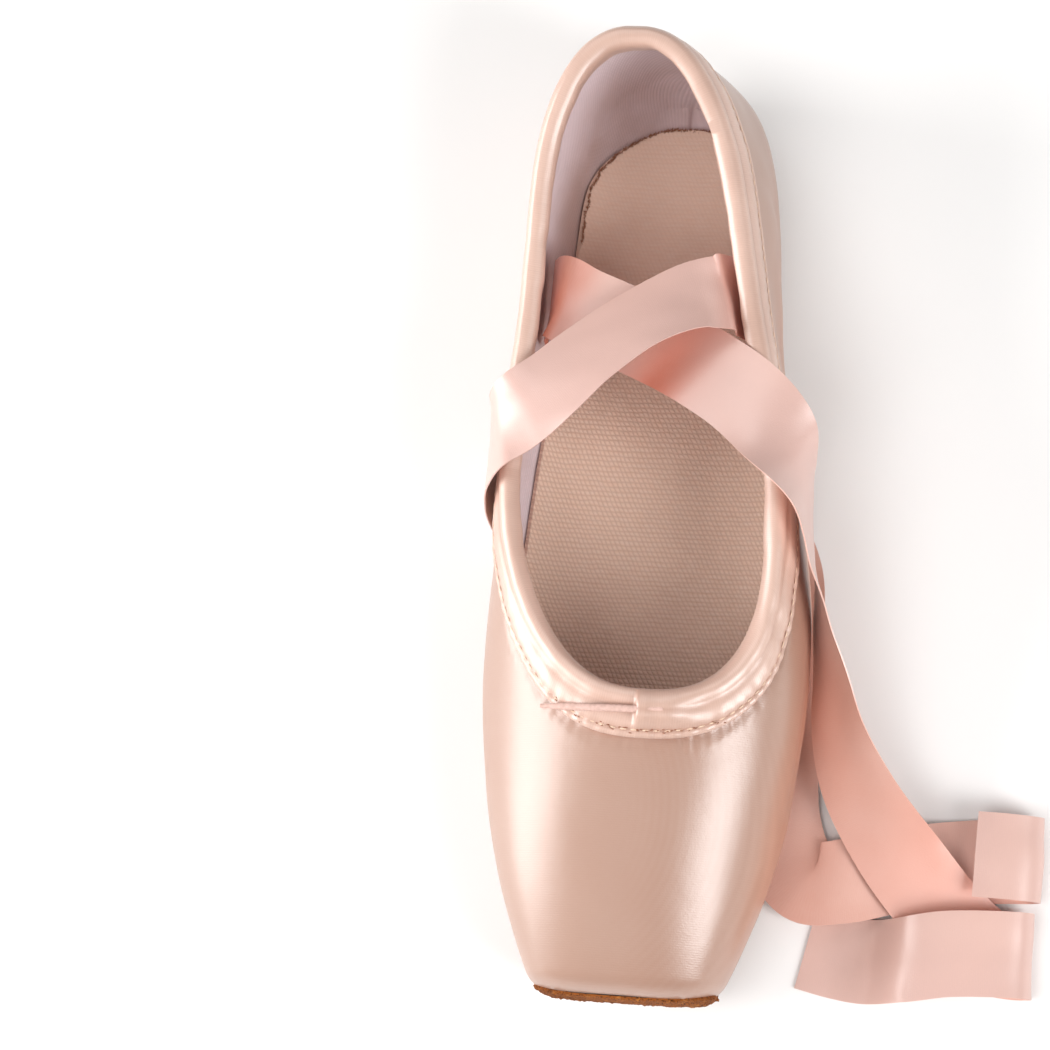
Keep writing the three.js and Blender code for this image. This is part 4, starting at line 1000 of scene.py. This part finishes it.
class SHOE_OT_soles(bpy.types.Operator):
    """Builds the leather outsole and the canvas insole"""
    bl_idname = "shoe.soles"
    bl_label = "Outsole and insole"

    def execute(self, context):
        rows, columns = OUTSOLE_GRID
        start, end = SOLE[0, 0], SOLE[-1, 0]
        s = (start + (end - start) * eased(np.linspace(0, 1, rows)))[:, None]
        b = np.sin(np.linspace(-np.pi / 2, np.pi / 2, columns + 1))[None]
        x = b * sole_half(s)
        high = height_at(s, x, False) - SOLE_CLEAR
        round_edge = 0.9 * np.abs(b) ** 8 * np.minimum(sole_half(s) / 5, 1)
        low = under_at(s) - UNDER_SHOE + round_edge
        high = np.maximum(high, low + 0.12)
        s, x = np.broadcast_arrays(s, x)
        points = [placed(np.stack([x, s, v], -1)) for v in (high, low)]
        piece = add_piece("outsole_leather", np.concatenate(points), wall_faces(rows, columns + 1, False),
                          [sole_leather()])
        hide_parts("outsole")

        rows, columns = INSOLE_GRID
        start, end = SOCK
        # Both ends stop just short of the points where the width is nothing
        s = (start + (end - start) * eased(np.linspace(0.01, 0.99, rows)))[:, None]
        toe = np.sqrt(np.clip((s - start) / 9, 0, 1))
        heel = (1 - np.clip((s - end + SOCK_HEEL) / SOCK_HEEL, 0, 1) ** SOCK_ROUND) ** (1 / SOCK_ROUND)
        rise = SOCK_RISE + 3.0 * ease(s, 165, 200)
        b = np.linspace(-1, 1, columns + 1)[None]
        x = b * half_width(s, under_at(s) + rise) * toe * heel
        s, x = np.broadcast_arrays(s, x)
        h = 0.25
        slope_x = (height_at(s, x + h, False) - height_at(s, x - h, False)) / (2 * h)
        slope_s = (height_at(s + h, x, False) - height_at(s - h, x, False)) / (2 * h)
        n = unit(np.stack([-slope_x, -slope_s, 1 + 0 * s], -1))
        p = np.stack([x, s, height_at(s, x, False)], -1)
        lift = wall_at(s) + SOCK_CLEAR
        frayed = 0.35 * unevenness(p, 3, 41) * ease(np.abs(b), 0.93, 1.0) * ease(s, 150, 200)
        swell = 0.25 * unevenness(p, 26, 42) * (1 - ease(np.abs(b), 0.8, 1.0))
        high = placed(p + n * (lift + SOCK_THICK + swell - 0.5 * np.abs(b) ** 10 + frayed)[..., None])
        low = placed(p + n * lift[..., None])
        uv = np.stack([x / 10, s / 10], -1)
        piece = add_piece("insole_canvas", np.concatenate([high, low]), wall_faces(rows, columns + 1, False),
                          [insole_canvas()], np.concatenate([uv, uv]))
        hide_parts("insole")

        rng = np.random.default_rng(44)
        rim, _ = even(np.concatenate([high[FRAYED_ROW:-1, 0], high[FRAYED_ROW:-1, -1][::-1]]), 400)
        inward = unit(np.array([0.0, 40.0, 8.0]) - rim)
        pick = rng.integers(0, len(rim), FRAYED_THREADS)
        root = rim[pick] + inward[pick] * rng.uniform(-0.3, 0.3, (FRAYED_THREADS, 1))
        heading = -inward[pick] * 0.8 + rng.normal(size=(FRAYED_THREADS, 3)) * (0.7, 0.7, 0.25)
        up = np.tile((0.0, 0, 1), (FRAYED_THREADS, 1))
        stitches("insole_frayed_threads", root + (0, 0, 0.12), heading, up, 0.9, 0.15,
                 spun_thread("canvas_thread_ends", "8A5A41", 0.9))
        return {"FINISHED"}


TOE_PIVOT = np.array([0.0, 24.0, 20.0])
SUEDE_THICK, SUEDE_EDGE, SUEDE_UNDER = 0.7, 1.2, 18.0


class SHOE_OT_toe(bpy.types.Operator):
    """Builds the suede cover of the toe with its standing nap and cut edge"""
    bl_idname = "shoe.toe"
    bl_label = "Suede toe cover"

    def execute(self, context):
        sizes, _ = settings()
        around, rings = TOE_GRID
        turn = (2 * np.pi * np.arange(around) / around)[:, None]
        down, side = (1 - np.cos(turn)) / 2, np.sin(turn) ** 2
        end = SUEDE_EDGE + (SUEDE_UNDER - SUEDE_EDGE) * ease(down, 0.62, 0.98) + 0.9 * side

        def hit(tilt):
            """Where rays from the pivot, tilted by that much off the toe's axis, meet the last."""
            heading = np.stack(np.broadcast_arrays(
                np.sin(tilt) * np.sin(turn), -np.cos(tilt), np.sin(tilt) * np.cos(turn)), -1)
            return surface(TOE_PIVOT, heading)
        low, high = np.zeros_like(turn), np.full_like(turn, 1.9)
        for _ in range(24):
            middle = (low + high) / 2
            short = hit(middle)[..., 1] < end
            low, high = np.where(short, middle, low), np.where(short, high, middle)
        # The strip is lower at the top of the toe than at its sides
        low = low * (1 - 0.24 * (1 - ease(down, 0.0, 0.45)))
        p = hit(low * np.linspace(0, 1, 161)[None])
        n = -grid_normals(p)
        n[:, 0] = (0, -1, 0)
        weighted = runs(p, 6.0)
        stops = weighted[:, -1:] * np.linspace(0, 1, rings + 1)[None] ** 0.9
        p, n = at_run(p, weighted, stops), unit(at_run(n, weighted, stops))
        edge = np.linspace(0, 1, rings + 1)[None]
        nap = unevenness(p, 1.1, 51, 24) * 0.5 + unevenness(p, 2.6, 52) * 0.5
        fray = sizes.nap * 1000 * nap * (1 + 1.2 * ease(edge, 0.93, 1.0)) * ease(edge, 0.0, 0.05)
        thin = SUEDE_THICK * (1 - 0.35 * ease(edge, 0.95, 1.0))
        outer = placed(p + n * (thin + fray)[..., None])
        inner = placed(p + n * 0.03)
        piece = add_piece("toe_suede", np.concatenate([outer, inner]), wall_faces(around, rings + 1, True),
                          [toe_suede()])
        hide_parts("toe_tip")
        return {"FINISHED"}


def spline(rows, t):
    """A centripetal Catmull-Rom curve through rows, t from 0 to 1, as the part's source draws it."""
    points = np.concatenate([[2 * rows[0] - rows[1]], rows, [2 * rows[-1] - rows[-2]]])
    at = t * (len(rows) - 1)
    i = np.clip(at.astype(int), 0, len(rows) - 2)
    w = (at - i)[:, None]
    p0, p1, p2, p3 = (points[i + k] for k in range(4))
    d0, d1, d2 = (np.sum((a - b) ** 2, -1, keepdims=True) ** 0.25 for a, b in ((p0, p1), (p1, p2), (p2, p3)))
    d1 = np.where(d1 < 1e-4, 1, d1)
    d0, d2 = np.where(d0 < 1e-4, d1, d0), np.where(d2 < 1e-4, d1, d2)
    m1 = ((p1 - p0) / d0 - (p2 - p0) / (d0 + d1) + (p2 - p1) / d1) * d1
    m2 = ((p2 - p1) / d1 - (p3 - p1) / (d1 + d2) + (p3 - p2) / d2) * d1
    return p1 + m1 * w + (3 * (p2 - p1) - 2 * m1 - m2) * w ** 2 + (2 * (p1 - p2) + m1 + m2) * w ** 3


def even(points, count):
    """The same line with evenly spaced points, and the length run at each."""
    run = np.r_[0, np.cumsum(np.linalg.norm(np.diff(points[:, :3], axis=0), axis=1))]
    where = np.linspace(0, run[-1], count)
    return np.stack([np.interp(where, run, points[:, k]) for k in range(points.shape[1])], -1), where


def ribbon(name, node_name, rows, seed, materials, shaded=()):
    """A strip of satin carried along its route. Across it the strip is slightly cupped, a slow ripple runs
    along it, and its woven edges are a hair thicker. `shaded` lists run, width and depth of the
    places that get a painted orange glow, for light that comes only through the cloth; the end sewn
    inside the shoe gets it too."""
    t = np.linspace(0, 1, 3000)
    heading, up = np.radians(rows[:, 3]), np.radians(rows[:, 4])
    edges = np.stack([np.cos(heading) * np.cos(up), np.sin(heading) * np.cos(up), np.sin(up)], -1)
    line, run = even(np.concatenate([spline(rows[:, :3], t), spline(edges, t)], 1), RIBBON_LINES)
    middle, edge = line[:, :3], line[:, 3:]
    tangent = unit(np.gradient(middle, axis=0))
    across = unit(edge - tangent * np.sum(edge * tangent, 1, keepdims=True))
    out = unit(np.cross(tangent, across))[:, None]
    b = np.linspace(-1, 1, 25)
    ripple = 0.16 * unevenness(np.stack([run, run * 0, run * 0], -1), 24, seed)[:, None]
    flat = np.stack(np.broadcast_arrays(run[:, None], b[None] * 14, 0), -1)
    ripple = ripple + 0.10 * unevenness(flat, 15, seed + 1)
    # On the floor it lies flat
    lift = np.clip(middle[:, 2:3] / 3 - 0.2, 0, 1) * (ripple + 0.22 * (1 - b[None] ** 2))
    sheet = middle[:, None] + across[:, None] * (b * RIBBON_WIDTH / 2)[None, :, None] + out * lift[..., None]
    thick = 0.17 + 0.07 * ease(np.abs(b), 0.93, 0.98) - 0.08 * ease(np.abs(b), 0.985, 1.0)
    points = np.concatenate([sheet + out * thick[None, :, None], sheet - out * thick[None, :, None]])
    points[..., 2] = np.maximum(points[..., 2], ABOVE_FLOOR)
    faces = wall_faces(len(line), len(b), False)
    uv = np.stack(np.broadcast_arrays(b[None] * RIBBON_WIDTH / 20, run[:, None] / 10), -1)
    one_side = (len(line) - 1) * (len(b) - 1)
    reverse = np.where(np.arange(len(faces)) // one_side == 1, 1, 0)
    # Painted glow: the first 12 to 26 mm, inside the shoe, are orange as if lit only through the cloth
    glow = 0.9 * (1 - ease(run, 12, 26))
    for at, width, share in shaded:
        glow = np.maximum(glow, share * bump(run, at, width))
    glow = glow[:, None] * (0.75 + 0.25 * b[None])
    piece = add_piece(name, points, faces, materials, np.concatenate([uv, uv]),
                      {"crease": np.concatenate([glow, glow])}, face_material=reverse)
    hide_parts(node_name)


class SHOE_OT_ribbons(bpy.types.Operator):
    """Builds the two sewn ribbons"""
    bl_idname = "shoe.ribbons"
    bl_label = "Ribbons"

    def execute(self, context):
        sizes, colours = settings()
        # The ribbons' fold colour is a painted orange glow of light through the cloth
        thread, lit = sizes.weave * 0.8, {"fold": "DD5E2A", "painted_light_share": 0.95}
        face = satin("ribbon_satin_face", colours.ribbon, colours.ribbon_back, thread, roughness=0.33, **lit)
        back = satin("ribbon_satin_reverse", colours.ribbon_back, hex_colour("D99079"), thread,
                     roughness=0.40, **lit)
        ribbon("ribbon_right_satin", "ribbon_from_right", RIBBON_FROM_RIGHT, 61, [face, back])
        # Painted orange glow where the left ribbon passes under the right one, and at the foot of its fall
        ribbon("ribbon_left_satin", "ribbon_from_left", RIBBON_FROM_LEFT, 71, [back, face],
               shaded=[(48, 8, 0.7), (200, 18, 0.35)])
        return {"FINISHED"}


class SHOE_OT_drawstring(bpy.types.Operator):
    """Builds the free end of the flat cotton drawstring"""
    bl_idname = "shoe.drawstring"
    bl_label = "Drawstring end"

    def execute(self, context):
        line, run = even(spline(STRING, np.linspace(0, 1, 400)), DRAWSTRING_LINES)
        count, sides = DRAWSTRING_LINES, DRAWSTRING_SIDES
        tangent = unit(np.gradient(line, axis=0))
        side = unit(np.cross(tangent, np.array([0.0, 0.0, 1.0])))
        up = np.cross(side, tangent)
        turn = np.linspace(0, 2 * np.pi, sides, endpoint=False)
        braid = 1 + 0.03 * np.sin(2 * np.pi * run[:, None] / 0.9 + 3 * turn[None])
        braid = STRING_WIDTH / 2 * braid * (1 - 0.45 * ease(run[:, None], run[-1] - 7, run[-1]))
        ring = line[:, None] + side[:, None] * (np.cos(turn) * braid)[..., None]
        ring = ring + up[:, None] * (np.sin(turn) * braid)[..., None] * STRING_FLAT
        # Each end closes on a ring whose points all lie on the middle line
        first, last = (np.repeat(end[:, None], sides, 1) for end in (line[:1], line[-1:]))
        points = np.concatenate([first, ring, last])
        i, j = np.meshgrid(np.arange(count + 1) * sides, np.arange(sides), indexing="ij")
        k = (j + 1) % sides
        faces = np.stack([i + j, i + k, i + sides + k, i + sides + j], -1).reshape(-1, 4)
        piece = add_piece("drawstring_braid", points, faces,
                          [spun_thread("drawstring_cotton_braid", "D9B5AA", 0.7)])
        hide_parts("drawstring_end")
        return {"FINISHED"}


# Lights: name, place, target, width and height, watts, tint, and whether the gloss shows it
LIGHTS = (
    ("left_softbox", (-1.0, -0.10, 0.26), (0, -0.03, 0.03), (0.7, 1.2), 18.0, (1.0, 0.99, 0.98), True),
    ("right_softbox", (0.86, -0.46, 0.76), (0.02, -0.05, 0.03), (0.46, 0.8), 11.0, (1, 1, 1), True),
    ("front_softbox", (-0.25, -0.50, 1.25), (0, 0, 0.03), (0.7, 0.7), 6.5, (1, 1, 1), False),
    ("back_softbox", (-0.3, 0.8, 1.1), (0, 0, 0.03), (1.0, 0.6), 3.0, (1, 1, 1), True),
)
AIR_LIGHT = 0.2
FLOOR_REACH = 6
# Camera: the point that it looks at, how far off, degrees to the right, to the front and rolled, and the
# lens, from the photo's 1050 pixels and its 3.98 pixels to a millimetre at that point
LOOKS_AT, CAMERA_DISTANCE = Vector((-0.03317, -0.00060, 0.020)), 0.95832
TO_RIGHT, TO_FRONT, ROLL = (math.radians(angle) for angle in (9.21, 10.06, -4.1))
SENSOR = 36.0
LENS = 3.98 * CAMERA_DISTANCE * 1000 / 1050 * SENSOR


class SHOE_OT_stage(bpy.types.Operator):
    """Builds the floor, the lights and the camera"""
    bl_idname = "shoe.stage"
    bl_label = "Stage"

    def execute(self, context):
        scene = context.scene
        _, colours = settings()
        mesh = bpy.data.meshes.new("studio_floor")
        corners = [(x * FLOOR_REACH, y * FLOOR_REACH, 0) for x, y in ((-1, -1), (1, -1), (1, 1), (-1, 1))]
        mesh.from_pydata(corners, [], [(0, 1, 2, 3)])
        material, tree = new_material("floor_matt_paint")
        shader = node(tree, "BsdfPrincipled", {
            "Base Color": colours.floor, "Roughness": 0.7, "Specular IOR Level": 0.2})
        node(tree, "OutputMaterial", (shader,))
        mesh.materials.append(material)
        floor = bpy.data.objects.new("studio_floor", mesh)
        scene.collection.objects.link(floor)

        for name, place, target, size, watts, tint, glossy in LIGHTS:
            data = bpy.data.lights.new(name, "AREA")
            data.shape, data.energy, data.color = "RECTANGLE", watts, tint
            data.size, data.size_y = size
            lamp = bpy.data.objects.new(name, data)
            lamp.location = place
            lamp.visible_glossy = glossy
            lamp.rotation_euler = (Vector(target) - Vector(place)).to_track_quat("-Z", "Y").to_euler()
            scene.collection.objects.link(lamp)

        world = bpy.data.worlds.new("studio_air")
        world.use_nodes = True
        air = world.node_tree.nodes["Background"].inputs
        air["Color"].default_value, air["Strength"].default_value = (1, 1, 1, 1), AIR_LIGHT
        scene.world = world
        scene.view_settings.view_transform = "Standard"

        out = Vector((math.tan(TO_RIGHT), -math.tan(TO_FRONT), 1)).normalized()
        right = (-out).cross(Vector((math.sin(ROLL), math.cos(ROLL), 0))).normalized()
        data = bpy.data.cameras.new("photo_camera")
        data.sensor_width, data.lens = SENSOR, LENS
        data.clip_start, data.clip_end = 0.05, 20
        camera = bpy.data.objects.new("photo_camera", data)
        turn = Matrix((right, right.cross(-out), out)).transposed().to_4x4()
        camera.matrix_world = Matrix.Translation(LOOKS_AT + out * CAMERA_DISTANCE) @ turn
        scene.collection.objects.link(camera)
        scene.camera = camera
        return {"FINISHED"}


OPERATORS = (SHOE_OT_upper, SHOE_OT_binding, SHOE_OT_soles, SHOE_OT_toe, SHOE_OT_ribbons, SHOE_OT_drawstring,
             SHOE_OT_stage)


class SHOE_PT_panel(bpy.types.Panel):
    bl_label = "Pointe shoe"
    bl_idname = "SHOE_PT_panel"
    bl_space_type = "VIEW_3D"
    bl_region_type = "UI"
    bl_category = "Pointe shoe"

    def draw(self, context):
        for group in settings():
            for key in group.__annotations__:
                self.layout.prop(group, key)
        for operator in OPERATORS:
            self.layout.operator(operator.bl_idname)


CLASSES = (ShoeSizes, ShoeColours, *OPERATORS, SHOE_PT_panel)


def register():
    for item in CLASSES:
        bpy.utils.register_class(item)
    bpy.types.Scene.shoe_sizes = PointerProperty(type=ShoeSizes)
    bpy.types.Scene.shoe_colours = PointerProperty(type=ShoeColours)


def unregister():
    del bpy.types.Scene.shoe_sizes, bpy.types.Scene.shoe_colours
    for item in reversed(CLASSES):
        bpy.utils.unregister_class(item)


def main():
    """Registers the add-on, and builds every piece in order."""
    register()
    for operator in OPERATORS:
        group, call = operator.bl_idname.split(".")
        getattr(getattr(bpy.ops, group), call)()


if __name__ == "__main__":
    main()
